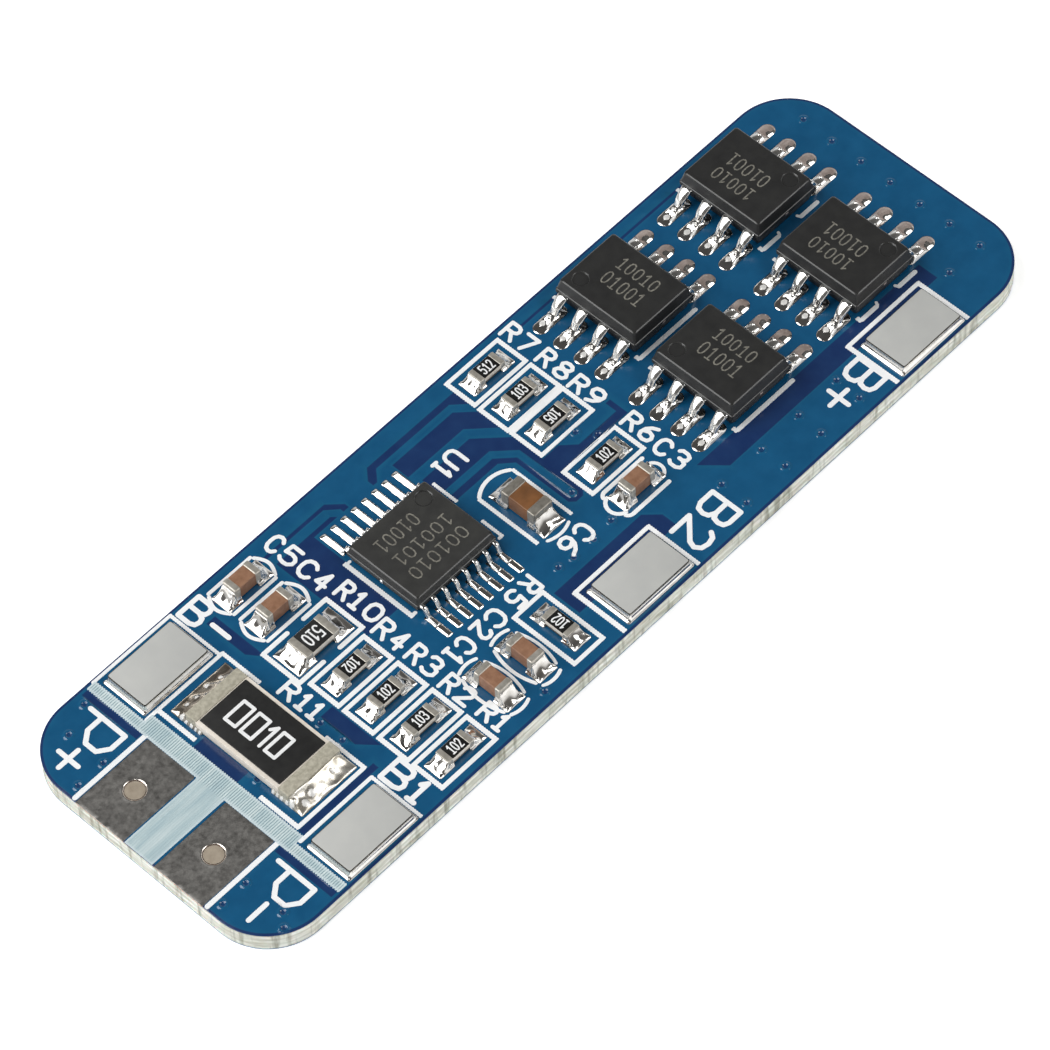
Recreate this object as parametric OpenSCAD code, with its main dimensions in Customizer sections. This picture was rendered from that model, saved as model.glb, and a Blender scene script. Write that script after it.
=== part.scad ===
// Battery management board for a three-cell lithium pack.
// Origin at the centre of the underside. +X runs along the board towards the
// transistor end, +Y towards the edge that carries the B- tab, +Z up.
// All lengths in millimetres.

/* [Board] */
// Length of the board along X
board_l = 50; // [49.5:0.25:54]
// Width of the board along Y
board_w = 15.7; // [15.7:0.1:18]
// Radius of the four corners
corner_r = 3; // [2:0.25:3.5]
// Thickness of the bare glass-epoxy laminate
laminate_t = 1.0; // [0.6:0.1:1.6]
// Thickness of each copper layer
copper_t = 0.035; // [0.018:0.001:0.07]
// Thickness of the solder mask over the copper
mask_t = 0.02; // [0.01:0.005:0.03]
// Thickness of the printed legend
legend_t = 0.015; // [0.01:0.005:0.03]
// Thickness of solder under a soldered part
solder_t = 0.04; // [0.03:0.01:0.08]

/* [Wire terminals] */
// Width of each wire pad along Y
wire_pad_w = 2.94; // [2:0.02:2.94]
// Length of each wire pad from the board's end
wire_pad_l = 4.35; // [3:0.05:4.35]
// Distance of each wire pad's centre from the board's long axis
wire_pad_y = 2.4; // [2.3:0.05:2.4]
// Finished diameter of the plated, solder-filled hole in each wire pad
wire_hole_d = 1.0; // [0.6:0.05:1.2]
// Depth of the dish that the solder leaves at the top of each hole
wire_dish_t = 0.1; // [0.04:0.02:0.3]

/* [Cell tabs] */
// Length of each nickel tab along X
tab_l = 3.9; // [3:0.05:3.9]
// Width of each nickel tab along Y
tab_w = 2.38; // [1.8:0.02:2.38]
// Thickness of each nickel tab
tab_t = 0.4; // [0.2:0.05:0.8]

/* [Power transistors] */
// Body length along Y, across the lead rows' length
so_l = 4.9; // [4.8:0.05:5]
// Body width along X, between the lead rows
so_w = 3.9; // [3.8:0.05:4]
// Height of the moulded body
so_h = 1.45; // [1.25:0.05:1.6]
// Lead pitch
so_pitch = 1.27; // [1.27]
// Width of one lead
so_lead_w = 0.42; // [0.33:0.01:0.48]

/* [Protection circuit] */
// Body length along X
ts_l = 5.0; // [4.9:0.05:5.1]
// Body width along Y
ts_w = 4.4; // [4.3:0.05:4.5]
// Height of the moulded body
ts_h = 1.0; // [0.8:0.05:1.05]
// Lead pitch
ts_pitch = 0.65; // [0.65]
// Width of one lead
ts_lead_w = 0.22; // [0.19:0.01:0.3]

/* [Hidden] */

// Levels of the stack, from the underside up.
z_lam0 = mask_t + copper_t;
z_lam1 = z_lam0 + laminate_t;
z_cu = z_lam1 + copper_t;
z_mask = z_cu + mask_t;
z_chip = z_cu + solder_t;
plating_t = 0.05;
wire_ring_r = wire_hole_d/2 + 0.45;

// Transistor centres and quarter turns: pin 1 is at the upper left at 0.
Q = [[10.3, 4.43, 0], [18.6, 4.41, 180], [10.28, -1.49, 0], [18.57, -1.56, 180]];
so_pad_out = 3.9;
so_pad_in = 1.9;
so_pad_w = 0.76;
so_z0 = z_chip + 0.1;
// Protection circuit centre.
U = [-5.73, 1.77];
ts_pad_out = 3.97;
ts_pad_in = 2.45;
ts_pad_w = 0.36;
ts_z0 = z_chip + 0.05;

// Chip parts: name, x, y, turn, length, width, height, cap length,
// pad inner end, pad outer end, pad width.
R603 = [1.6, 0.8, 0.45, 0.3];
C603 = [1.6, 0.85, 0.82, 0.35];
R = [
  [-12.22, -6.46, 0, R603, [0.5, 1.46, 1.06]],
  [-12.22, -4.40, 0, R603, [0.5, 1.46, 1.06]],
  [-12.22, -2.32, 0, R603, [0.5, 1.46, 1.06]],
  [-12.22, -0.25, 0, R603, [0.5, 1.46, 1.06]],
  [-4.50, -5.43, 90, R603, [0.5, 1.38, 1.1]],
  [3.32, -0.80, 0, R603, [0.5, 1.34, 1.1]],
  [3.32, 6.42, 0, R603, [0.5, 1.34, 1.1]],
  [3.32, 4.38, 0, R603, [0.5, 1.34, 1.1]],
  [3.32, 2.36, 0, R603, [0.5, 1.34, 1.1]],
  [-12.26, 2.03, 0, [2.0, 1.25, 0.5, 0.38], [0.6, 1.76, 1.7]]];
C = [
  [-8.70, -5.40, 90, C603, [0.5, 1.4, 1.2]],
  [-6.68, -5.40, 90, C603, [0.5, 1.4, 1.2]],
  [3.22, -2.84, 0, C603, [0.5, 1.34, 1.2]],
  [-12.28, 4.38, 0, C603, [0.5, 1.42, 1.2]],
  [-12.28, 6.40, 0, C603, [0.5, 1.42, 1.2]],
  [-0.87, -0.02, 90, [2.08, 1.2, 0.96, 0.5], [0.6, 1.72, 1.45]]];
// Shunt resistor.
RS = [-17.3, 0.13];
rs_l = 6.3;
rs_w = 3.2;
rs_h = 0.6;
rs_cap = 0.66;
rs_pad = [2.1, 4.03, 3.42];
// Nickel tab centres: B-, B1, B2, B+.
T = [[-17.8, 6.08], [-17.82, -6.34], [-0.27, -6.28], [17.78, -6.37]];
tab_z0 = z_cu + 0.06;
tab_pad = [4.3, 2.62];

// ---------- two-dimensional outlines ----------
module board2d(inset = 0) {
  l = board_l - 2*inset;
  w = board_w - 2*inset;
  r = corner_r - inset;
  square([l - 2*r, w], center = true);
  square([l, w - 2*r], center = true);
  for (sx = [-1, 1], sy = [-1, 1])
    translate([sx*(l/2 - r), sy*(w/2 - r)]) circle(r = r, $fn = 96);
}
module wire_holes2d(r) {
  for (sy = [-1, 1]) translate([-board_l/2 + 2.15, sy*wire_pad_y]) circle(r = r, $fn = 64);
}
module wire_pads2d() {
  for (sy = [-1, 1])
    translate([-board_l/2, sy*wire_pad_y - wire_pad_w/2]) square([wire_pad_l, wire_pad_w]);
}
module obround2d(l, w) {
  square([l - w, w], center = true);
  for (s = [-1, 1]) translate([s*(l - w)/2, 0]) circle(d = w, $fn = 40);
}
module so_pads2d() {
  for (q = Q, s = [-1, 1], i = [0:3])
    translate([q[0] + s*(so_pad_out + so_pad_in)/2, q[1] + (i - 1.5)*so_pitch])
      obround2d(so_pad_out - so_pad_in, so_pad_w);
}
module ts_pads2d() {
  for (s = [-1, 1], i = [0:7])
    translate([U[0] + (i - 3.5)*ts_pitch, U[1] + s*(ts_pad_out + ts_pad_in)/2])
      square([ts_pad_w, ts_pad_out - ts_pad_in], center = true);
}
module pair2d(p) {
  for (s = [-1, 1]) translate([s*(p[0] + p[1])/2, 0]) square([p[1] - p[0], p[2]], center = true);
}
module chip_pads2d() {
  for (c = concat(R, C)) translate([c[0], c[1]]) rotate(c[2]) pair2d(c[4]);
  translate(RS) rotate(90) pair2d(rs_pad);
}
module tab_pads2d() {
  for (t = T) translate(t) square(tab_pad, center = true);
}
module openings2d() {
  wire_pads2d();
  so_pads2d();
  ts_pads2d();
  chip_pads2d();
  tab_pads2d();
}
// Gaps cleared between the top copper areas.
module gaps2d() {
  polygon([[5.85, -4.02], [6.85, -5.15], [20.9, -5.15], [20.9, -4.02]]);
  translate([6.2, 7.0]) square([11, 0.15]);
  polygon([[-3.4, -4.0], [2.25, -4.0], [2.9, -4.7], [2.9, -5.55], [-3.4, -5.55]]);
  polygon([[-13.8, 6.82], [-6.75, 6.82], [-6.1, 6.15], [-6.1, 5.9], [-6.45, 5.9], [-6.45, 6.1], [-7.0, 6.62], [-13.8, 6.62]]);
  polygon([[-10.45, 6.15], [-7.05, 6.15], [-6.8, 5.9], [-8.3, 5.9], [-8.3, 0.5], [-10.45, 0.5]]);
  polygon([[-4.55, 5.9], [-4.55, 6.25], [-4.05, 6.8], [1.6, 6.8], [1.6, 5.75], [0.9, 6.45], [-3.8, 6.45], [-4.3, 5.9]]);
  polygon([[-3.2, 6.05], [0.7, 6.05], [1.6, 5.15], [1.6, 3.8], [0.35, 5.05], [-3.2, 5.05]]);
  difference() {
    polygon([[-2.9, 4.5], [0.15, 4.5], [1.55, 3.1], [1.55, -1.15], [1.3, -1.4], [0.85, -1.4], [0.6, -1.15], [0.6, 2.05], [0.0, 2.6], [-2.9, 2.6]]);
    polygon([[-3.0, 3.35], [0.25, 3.35], [1.2, 2.4], [1.25, -1.05], [1.13, -1.15], [0.95, -1.15], [0.85, -1.05], [0.85, 2.2], [0.05, 2.98], [-3.0, 2.98]]);
  }
  polygon([[1.4, 1.3], [2.55, 1.3], [3.2, 0.65], [5.65, 0.65], [5.65, 1.3], [5.95, 1.3], [5.95, 0.2], [1.4, 0.2]]);
  translate([-19.65, -0.6]) square([0.75, 2.7]);
  translate([-19.6, -4.58]) square([4.6, 0.34]);
  polygon([[-14.85, -0.9], [-14.1, -0.9], [-14.1, -3.9], [-14.85, -3.0]]);
  polygon([[-14.75, 6.2], [-14.2, 6.2], [-14.2, 3.3], [-14.4, 3.3], [-14.75, 3.8]]);
  translate([-21.0, 4.2]) square([0.36, 3.4]);
  translate([-21.0, -7.6]) square([0.36, 3.4]);
  translate([-board_l/2 - 1, -wire_pad_y + wire_pad_w/2]) square([5.6, 2*wire_pad_y - wire_pad_w]);
}
module copper_top2d() {
  difference() { board2d(0.3); gaps2d(); }
  openings2d();
}

// ---------- board ----------
module laminate() {
  color([0.80, 0.80, 0.70]) translate([0, 0, z_lam0]) linear_extrude(laminate_t)
    difference() { board2d(); wire_holes2d(wire_hole_d/2 + plating_t); }
}
module copper_top() {
  color([0.75, 0.46, 0.28]) translate([0, 0, z_lam1]) linear_extrude(copper_t)
    difference() { copper_top2d(); wire_holes2d(wire_hole_d/2 + plating_t); }
}
module bottom_split2d() {
  translate([-board_l/2, -board_w/2]) square([5.2, board_w/2 - 0.25]);
}
module copper_bottom2d() {
  difference() {
    board2d(0.4);
    translate([-board_l/2 - 1, -board_w/2 - 1]) square([6.6, board_w/2 + 1.25]);
  }
  intersection() { board2d(0.4); bottom_split2d(); }
}
module copper_bottom() {
  color([0.75, 0.46, 0.28]) translate([0, 0, mask_t]) linear_extrude(copper_t)
    difference() { copper_bottom2d(); wire_holes2d(wire_hole_d/2 + plating_t); }
}
module hole_plating() {
  color([0.75, 0.46, 0.28]) translate([0, 0, mask_t]) linear_extrude(z_cu - mask_t)
    difference() { wire_holes2d(wire_hole_d/2 + plating_t); wire_holes2d(wire_hole_d/2); }
}
module solder_mask_top() {
  color([0.10, 0.33, 0.46]) {
    translate([0, 0, z_cu]) linear_extrude(mask_t) difference() { board2d(); openings2d(); }
    translate([0, 0, z_lam1]) linear_extrude(copper_t) difference() { board2d(); copper_top2d(); }
  }
}
module solder_mask_bottom() {
  color([0.10, 0.33, 0.46]) {
    linear_extrude(mask_t) difference() { board2d(); wire_holes2d(wire_ring_r); }
    translate([0, 0, mask_t]) linear_extrude(copper_t) difference() { board2d(); copper_bottom2d(); }
  }
}
// Hot-dipped tin: one piece per pad, over the pad, down the hole as a plug with
// a shallow dish on top, and out on the ring underneath.
module wire_pad_tinning() {
  color([0.43, 0.42, 0.40]) difference() {
    union() {
      translate([0, 0, z_cu]) linear_extrude(mask_t) wire_pads2d();
      linear_extrude(z_mask) wire_holes2d(wire_hole_d/2);
      linear_extrude(mask_t) wire_holes2d(wire_ring_r);
    }
    translate([0, 0, z_mask - wire_dish_t]) linear_extrude(1) wire_holes2d(wire_hole_d/2 - 0.03);
  }
}

// ---------- printed legend ----------
module hbar(x0, x1, y, w = 0.2) { translate([x0, y - w/2]) square([x1 - x0, w]); }
module vbar(x, y0, y1, w = 0.2) { translate([x - w/2, y0]) square([w, y1 - y0]); }
module frame2d(x0, x1, y0, y1, w = 0.2) {
  difference() {
    translate([x0 - w/2, y0 - w/2]) square([x1 - x0 + w, y1 - y0 + w]);
    translate([x0 + w/2, y0 + w/2]) square([x1 - x0 - w, y1 - y0 - w]);
  }
}
// Straight top and bottom bars with a bowed bar at each end, along X.
module lozenge2d(hx, hy, b, w = 0.18) {
  for (s = [-1, 1]) hbar(-b, b, s*hy, w);
  for (s = [-1, 1]) scale([s, 1]) intersection() {
    translate([hx - 1.6, 0]) difference() { circle(r = 1.6 + w/2, $fn = 96); circle(r = 1.6 - w/2, $fn = 96); }
    translate([0, -0.7]) square([3, 1.4]);
  }
}
module legend2d() {
  // End band that keeps the two wire pads apart, and the bar behind them.
  translate([-board_l/2, -0.82]) square([4.5, 1.66]);
  translate([-20.59, -4.62]) square([0.92, 9.2]);
  translate([-20.59, -7.65]) square([0.46, 15.3]);
  for (s = [-1, 1]) hbar(-board_l/2, -20.5, s*4.03, 0.22);
  // Tab outlines.
  hbar(-20.2, -15.44, 7.68, 0.14);
  vbar(-15.5, 4.6, 7.7, 0.13);
  hbar(-20.1, -15.3, 4.58, 0.16);
  hbar(-19.8, -15.5, -4.69, 0.16);
  vbar(-15.55, -7.65, -4.7, 0.13);
  hbar(-2.86, 2.1, -4.7, 0.18);
  vbar(-2.77, -7.65, -4.7, 0.2);
  vbar(2.0, -7.65, -4.7, 0.16);
  hbar(15.16, 20.17, -4.72, 0.18);
  vbar(15.26, -7.68, -4.72, 0.2);
  vbar(20.07, -7.68, -4.72, 0.18);
  // Shunt outline.
  vbar(-19.3, 2.3, 4.5, 0.18);
  vbar(-15.36, 2.3, 4.6, 0.15);
  vbar(-19.47, -4.1, -1.87, 0.18);
  vbar(-15.42, -4.1, -1.8, 0.16);
  hbar(-19.56, -15.34, -4.14, 0.18);
  // Resistor outlines.
  for (y = [-6.46, -4.40, -2.32, -0.25]) frame2d(-13.92, -10.6, y - 0.86, y + 0.86, 0.19);
  frame2d(-5.49, -3.68, -7.2, -3.6, 0.18);
  for (y = [-0.78, 6.45, 4.4]) frame2d(1.65, 4.97, y - 0.88, y + 0.88, 0.18);
  frame2d(1.65, 4.97, 1.46, 3.3, 0.18);
  hbar(1.56, 5.06, 3.42, 0.3);
  for (s = [-1, 1]) {
    vbar(-12.26 + s*1.96, 0.98, 3.2, 0.18);
    hbar(-12.26 + (s > 0 ? 0.45 : -1.96), -12.26 + (s > 0 ? 1.96 : -0.4), 3.22, 0.2);
    hbar(-12.26 + (s > 0 ? 0.45 : -1.96), -12.26 + (s > 0 ? 1.96 : -0.4), 0.97, 0.2);
  }
  // Capacitor outlines.
  translate([-12.28, 4.38]) lozenge2d(1.66, 0.86, 1.36);
  translate([-12.28, 6.44]) lozenge2d(1.66, 0.82, 1.36);
  translate([3.22, -2.84]) lozenge2d(1.66, 0.86, 1.36);
  for (x = [-8.70, -6.68]) translate([x, -5.40]) rotate(90) lozenge2d(1.66, 0.86, 1.25);
  translate([-0.88, 0.1]) {
    vbar(-1.06, -1.75, 1.75, 0.16);
    vbar(1.06, -1.75, 1.75, 0.16);
    for (s = [-1, 1]) scale([1, s]) intersection() {
      translate([0, 0.72]) difference() { circle(r = 1.6, $fn = 96); circle(r = 1.42, $fn = 96); }
      translate([-0.95, 1.7]) square([1.9, 1]);
    }
  }
  // Protection circuit corner marks.
  vbar(U[0] - 2.69, -0.28, 3.9, 0.18);
  hbar(U[0] - 2.78, U[0] - 2.4, -0.2, 0.16);
  hbar(U[0] - 2.78, U[0] - 2.4, 3.8, 0.12);
  vbar(U[0] + 3.02, 2.55, 4.0, 0.13);
  vbar(U[0] + 3.02, -0.26, 1.0, 0.13);
  // Transistor outlines.
  for (q = Q) {
    hbar(q[0] - 1.85, q[0] + (q[2] > 0 ? -0.6 : 2.0), q[1] - 2.62, 0.2);
    hbar(q[0] + (q[2] > 0 ? 0.7 : -1.0), q[0] + 2.0, q[1] - 2.62, 0.2);
    vbar(q[0] - 1.84, q[1] - 2.7, q[1] - 2.3, 0.15);
    vbar(q[0] - 1.84, q[1] + 2.3, q[1] + 2.7, 0.15);
  }
}
module silkscreen_top() {
  color([0.93, 0.95, 0.96]) translate([0, 0, z_mask]) linear_extrude(legend_t)
    intersection() { difference() { legend2d(); openings2d(); } board2d(0.05); }
}

// ---------- moulded packages ----------
// A body with a straight band at the lead level and drafted faces above and below.
module moulded(l, w, h, z0, band, draft) {
  zm = z0 + h/2;
  hull() {
    translate([-(l/2 - draft), -(w/2 - draft), z0]) cube([l - 2*draft, w - 2*draft, 0.01]);
    translate([-l/2, -w/2, zm - band/2]) cube([l, w, band]);
    translate([-(l/2 - draft), -(w/2 - draft), z0 + h - 0.01]) cube([l - 2*draft, w - 2*draft, 0.01]);
  }
}
module so_body(q) {
  color([0.19, 0.19, 0.20]) translate([q[0], q[1], 0]) rotate(q[2]) difference() {
    moulded(so_w, so_l, so_h, so_z0, 0.22, 0.16);
    translate([-1.12, 1.62, so_z0 + so_h - 0.06]) cylinder(r = 0.42, h = 0.2, $fn = 48);
  }
}
module so_lead() {
  zs = so_z0 + so_h/2;
  zf = z_chip;
  rotate([90, 0, 0]) translate([0, 0, -so_lead_w/2]) linear_extrude(so_lead_w)
    polygon([[so_w/2, zs + 0.1], [so_w/2 + 0.14, zs + 0.1], [so_w/2 + 0.26, zs],
      [so_w/2 + 0.46, zf + 0.32], [so_w/2 + 0.56, zf + 0.2], [3.0, zf + 0.2], [3.0, zf],
      [so_w/2 + 0.44, zf], [so_w/2 + 0.32, zf + 0.12], [so_w/2 + 0.12, zs - 0.14],
      [so_w/2 + 0.06, zs - 0.1], [so_w/2, zs - 0.1]]);
}
module so_leads(q) {
  color([0.80, 0.80, 0.79]) translate([q[0], q[1], 0])
    for (s = [0, 180], i = [0:3]) rotate(s) translate([0, (i - 1.5)*so_pitch, 0]) so_lead();
}
module protection_ic_body() {
  color([0.20, 0.20, 0.20]) translate([U[0], U[1], 0]) difference() {
    moulded(ts_l, ts_w, ts_h, ts_z0, 0.15, 0.12);
    translate([1.74, 1.46, ts_z0 + ts_h - 0.05]) cylinder(r = 0.45, h = 0.2, $fn = 48);
  }
}
module ts_lead() {
  zs = ts_z0 + ts_h/2;
  zf = z_chip;
  rotate([90, 0, 90]) translate([0, 0, -ts_lead_w/2]) linear_extrude(ts_lead_w)
    polygon([[ts_w/2, zs + 0.065], [ts_w/2 + 0.12, zs + 0.065], [ts_w/2 + 0.22, zs - 0.02],
      [ts_w/2 + 0.36, zf + 0.22], [ts_w/2 + 0.45, zf + 0.13], [3.2, zf + 0.13], [3.2, zf],
      [ts_w/2 + 0.38, zf], [ts_w/2 + 0.27, zf + 0.08], [ts_w/2 + 0.11, zs - 0.1],
      [ts_w/2 + 0.06, zs - 0.065], [ts_w/2, zs - 0.065]]);
}
module protection_ic_leads() {
  color([0.80, 0.80, 0.79]) translate([U[0], U[1], 0])
    for (s = [0, 180], i = [0:7]) rotate(s) translate([(i - 3.5)*ts_pitch, 0, 0]) ts_lead();
}

// ---------- chip parts ----------
module block(l, w, z0, z1) { translate([-l/2, -w/2, z0]) cube([l, w, z1 - z0]); }
cap_t = 0.04;
// Ceramic core with a raised coating between the caps.
module res_body(c, k = 0.04) {
  p = c[3];
  color([0.16, 0.16, 0.17]) translate([c[0], c[1], 0]) rotate(c[2]) {
    block(p[0] - 2*cap_t, p[1], z_chip + cap_t, z_chip + p[2] - cap_t);
    block(p[0] - 2*p[3], p[1] - 0.06, z_chip + p[2] - cap_t - 0.01, z_chip + p[2] - 0.01);
  }
}
// Wrapped caps over the top, the end and the underside of each end.
module res_caps(c) {
  p = c[3];
  color([0.78, 0.77, 0.74]) translate([c[0], c[1], 0]) rotate(c[2]) difference() {
    for (s = [-1, 1]) translate([s*(p[0] - p[3])/2, 0, 0]) block(p[3], p[1], z_chip, z_chip + p[2]);
    block(p[0] - 2*cap_t, p[1] + 1, z_chip + cap_t, z_chip + p[2] - cap_t);
  }
}
module cap_body(c, col) {
  p = c[3];
  color(col) translate([c[0], c[1], 0]) rotate(c[2])
    block(p[0] - 2*cap_t, p[1] - 2*cap_t, z_chip + cap_t, z_chip + p[2] - cap_t);
}
module cap_caps(c) {
  p = c[3];
  color([0.74, 0.73, 0.70]) translate([c[0], c[1], 0]) rotate(c[2]) difference() {
    for (s = [-1, 1]) translate([s*(p[0] - p[3])/2, 0, 0]) block(p[3], p[1], z_chip, z_chip + p[2]);
    block(p[0] - 2*cap_t, p[1] - 2*cap_t, z_chip + cap_t, z_chip + p[2] - cap_t);
  }
}
module shunt_r11_ceramic() {
  color([0.86, 0.84, 0.78]) translate([RS[0], RS[1], 0])
    block(rs_w, rs_l - 0.1, z_chip + 0.05, z_chip + rs_h - 0.05);
}
module shunt_r11_coating() {
  color([0.13, 0.13, 0.13]) translate([RS[0], RS[1], 0])
    block(2.84, rs_l - 2*rs_cap, z_chip + rs_h - 0.05, z_chip + rs_h - 0.005);
}
module shunt_r11_end_caps() {
  color([0.78, 0.74, 0.67]) translate([RS[0], RS[1], 0]) difference() {
    for (s = [-1, 1]) translate([0, s*(rs_l - rs_cap)/2, 0]) block(rs_w, rs_cap, z_chip, z_chip + rs_h);
    block(rs_w + 1, rs_l - 0.1, z_chip + 0.05, z_chip + rs_h - 0.05);
  }
}

// ---------- nickel tabs ----------
module tab(t) {
  r = 0.12;
  color([0.73, 0.73, 0.72]) translate([t[0], t[1], tab_z0]) linear_extrude(tab_t) {
    square([tab_l - 2*r, tab_w], center = true);
    square([tab_l, tab_w - 2*r], center = true);
    for (sx = [-1, 1], sy = [-1, 1]) translate([sx*(tab_l/2 - r), sy*(tab_w/2 - r)]) circle(r = r, $fn = 32);
  }
}

// ---------- solder ----------
module solder_mosfet_joints() {
  color([0.70, 0.70, 0.68]) for (q = Q) translate([q[0], q[1], 0])
    for (s = [0, 180], i = [0:3]) rotate(s) translate([0, (i - 1.5)*so_pitch, 0]) difference() {
      translate([(so_pad_out + so_pad_in)/2, 0, z_cu]) linear_extrude(0.2) obround2d(so_pad_out - so_pad_in, so_pad_w);
      so_lead();
    }
}
module solder_ic_joints() {
  color([0.70, 0.70, 0.68]) translate([U[0], U[1], 0])
    for (s = [0, 180], i = [0:7]) rotate(s) translate([(i - 3.5)*ts_pitch, 0, 0]) difference() {
      translate([-ts_pad_w/2, ts_pad_in, z_cu]) cube([ts_pad_w, ts_pad_out - ts_pad_in, 0.11]);
      ts_lead();
    }
}
// Fillet profile at one end of a chip part, extruded across the pad.
module fillet(l, h, p, rise) {
  e = l/2;
  translate([0, p[2]/2, 0]) rotate([90, 0, 0]) linear_extrude(p[2])
    polygon([[p[0], z_cu], [p[1], z_cu], [p[1], z_cu + 0.05], [e + 0.55*(p[1] - e), z_chip + 0.3*rise*h],
      [e + 0.12, z_chip + rise*h], [e, z_chip + rise*h], [e, z_chip], [p[0], z_chip]]);
}
module solder_chip_and_tab_joints() {
  color([0.70, 0.70, 0.68]) {
    for (c = concat(R, C)) translate([c[0], c[1], 0]) rotate(c[2])
      for (s = [0, 180]) rotate(s) fillet(c[3][0], c[3][2], c[4], 0.7);
    translate([RS[0], RS[1], 0]) rotate(90) for (s = [0, 180]) rotate(s) fillet(rs_l, rs_h, rs_pad, 0.8);
    for (t = T) translate([t[0], t[1], 0]) difference() {
      translate([-tab_pad[0]/2, -tab_pad[1]/2, z_cu]) cube([tab_pad[0], tab_pad[1], 0.2]);
      translate([-tab_l/2, -tab_w/2, tab_z0]) cube([tab_l, tab_w, 1]);
    }
  }
}

brown = [0.66, 0.46, 0.31];
laminate();
copper_top();
copper_bottom();
hole_plating();
solder_mask_top();
solder_mask_bottom();
silkscreen_top();
wire_pad_tinning();
so_body(Q[0]);  // mosfet_q1_body
so_leads(Q[0]);  // mosfet_q1_leads
so_body(Q[1]);  // mosfet_q2_body
so_leads(Q[1]);  // mosfet_q2_leads
so_body(Q[2]);  // mosfet_q3_body
so_leads(Q[2]);  // mosfet_q3_leads
so_body(Q[3]);  // mosfet_q4_body
so_leads(Q[3]);  // mosfet_q4_leads
protection_ic_body();
protection_ic_leads();
shunt_r11_ceramic();
shunt_r11_coating();
shunt_r11_end_caps();
res_body(R[0]);  // resistor_r1_body
res_caps(R[0]);  // resistor_r1_end_caps
res_body(R[1]);  // resistor_r2_body
res_caps(R[1]);  // resistor_r2_end_caps
res_body(R[2]);  // resistor_r3_body
res_caps(R[2]);  // resistor_r3_end_caps
res_body(R[3]);  // resistor_r4_body
res_caps(R[3]);  // resistor_r4_end_caps
res_body(R[4]);  // resistor_r5_body
res_caps(R[4]);  // resistor_r5_end_caps
res_body(R[5]);  // resistor_r6_body
res_caps(R[5]);  // resistor_r6_end_caps
res_body(R[6]);  // resistor_r7_body
res_caps(R[6]);  // resistor_r7_end_caps
res_body(R[7]);  // resistor_r8_body
res_caps(R[7]);  // resistor_r8_end_caps
res_body(R[8]);  // resistor_r9_body
res_caps(R[8]);  // resistor_r9_end_caps
res_body(R[9]);  // resistor_r10_body
res_caps(R[9]);  // resistor_r10_end_caps
cap_body(C[0], brown);  // capacitor_c1_body
cap_caps(C[0]);  // capacitor_c1_end_caps
cap_body(C[1], brown);  // capacitor_c2_body
cap_caps(C[1]);  // capacitor_c2_end_caps
cap_body(C[2], brown);  // capacitor_c3_body
cap_caps(C[2]);  // capacitor_c3_end_caps
cap_body(C[3], brown);  // capacitor_c4_body
cap_caps(C[3]);  // capacitor_c4_end_caps
cap_body(C[4], brown);  // capacitor_c5_body
cap_caps(C[4]);  // capacitor_c5_end_caps
cap_body(C[5], [0.52, 0.31, 0.16]);  // capacitor_c6_body
cap_caps(C[5]);  // capacitor_c6_end_caps
tab(T[0]);  // nickel_tab_b_minus
tab(T[1]);  // nickel_tab_b1
tab(T[2]);  // nickel_tab_b2
tab(T[3]);  // nickel_tab_b_plus
solder_mosfet_joints();
solder_ic_joints();
solder_chip_and_tab_joints();
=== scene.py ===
# Looks of the battery management board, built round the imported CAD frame.
# Lengths inside this file are millimetres; meshes are written in metres.
import bpy, math
import numpy as np
from mathutils import Vector, Matrix, noise
from mathutils.geometry import delaunay_2d_cdt


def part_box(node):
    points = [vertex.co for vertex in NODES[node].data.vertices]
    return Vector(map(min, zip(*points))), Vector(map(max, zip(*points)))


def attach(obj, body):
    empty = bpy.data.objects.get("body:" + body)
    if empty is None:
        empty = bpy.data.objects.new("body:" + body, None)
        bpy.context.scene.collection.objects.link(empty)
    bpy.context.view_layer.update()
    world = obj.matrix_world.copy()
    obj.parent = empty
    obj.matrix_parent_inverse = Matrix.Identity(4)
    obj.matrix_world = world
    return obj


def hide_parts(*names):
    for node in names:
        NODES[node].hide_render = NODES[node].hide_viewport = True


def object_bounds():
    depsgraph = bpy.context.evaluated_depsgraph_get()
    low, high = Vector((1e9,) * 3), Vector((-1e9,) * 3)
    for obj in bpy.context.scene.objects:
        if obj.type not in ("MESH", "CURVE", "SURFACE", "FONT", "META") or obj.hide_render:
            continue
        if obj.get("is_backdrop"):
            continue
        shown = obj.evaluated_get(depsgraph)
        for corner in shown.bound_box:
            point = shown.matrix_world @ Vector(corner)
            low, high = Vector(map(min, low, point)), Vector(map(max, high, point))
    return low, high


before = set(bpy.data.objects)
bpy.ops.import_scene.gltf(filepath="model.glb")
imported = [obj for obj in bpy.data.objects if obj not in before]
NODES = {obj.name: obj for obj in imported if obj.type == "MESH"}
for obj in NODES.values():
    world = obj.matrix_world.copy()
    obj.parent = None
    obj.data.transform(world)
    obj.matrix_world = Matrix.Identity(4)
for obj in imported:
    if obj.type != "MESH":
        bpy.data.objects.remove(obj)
CAD_LO, CAD_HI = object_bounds()
MM = 0.001


def cbox(node):
    lo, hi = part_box(node)
    return [c / MM for c in lo], [c / MM for c in hi]


def centre(node):
    lo, hi = cbox(node)
    return (lo[0] + hi[0]) / 2, (lo[1] + hi[1]) / 2


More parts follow.
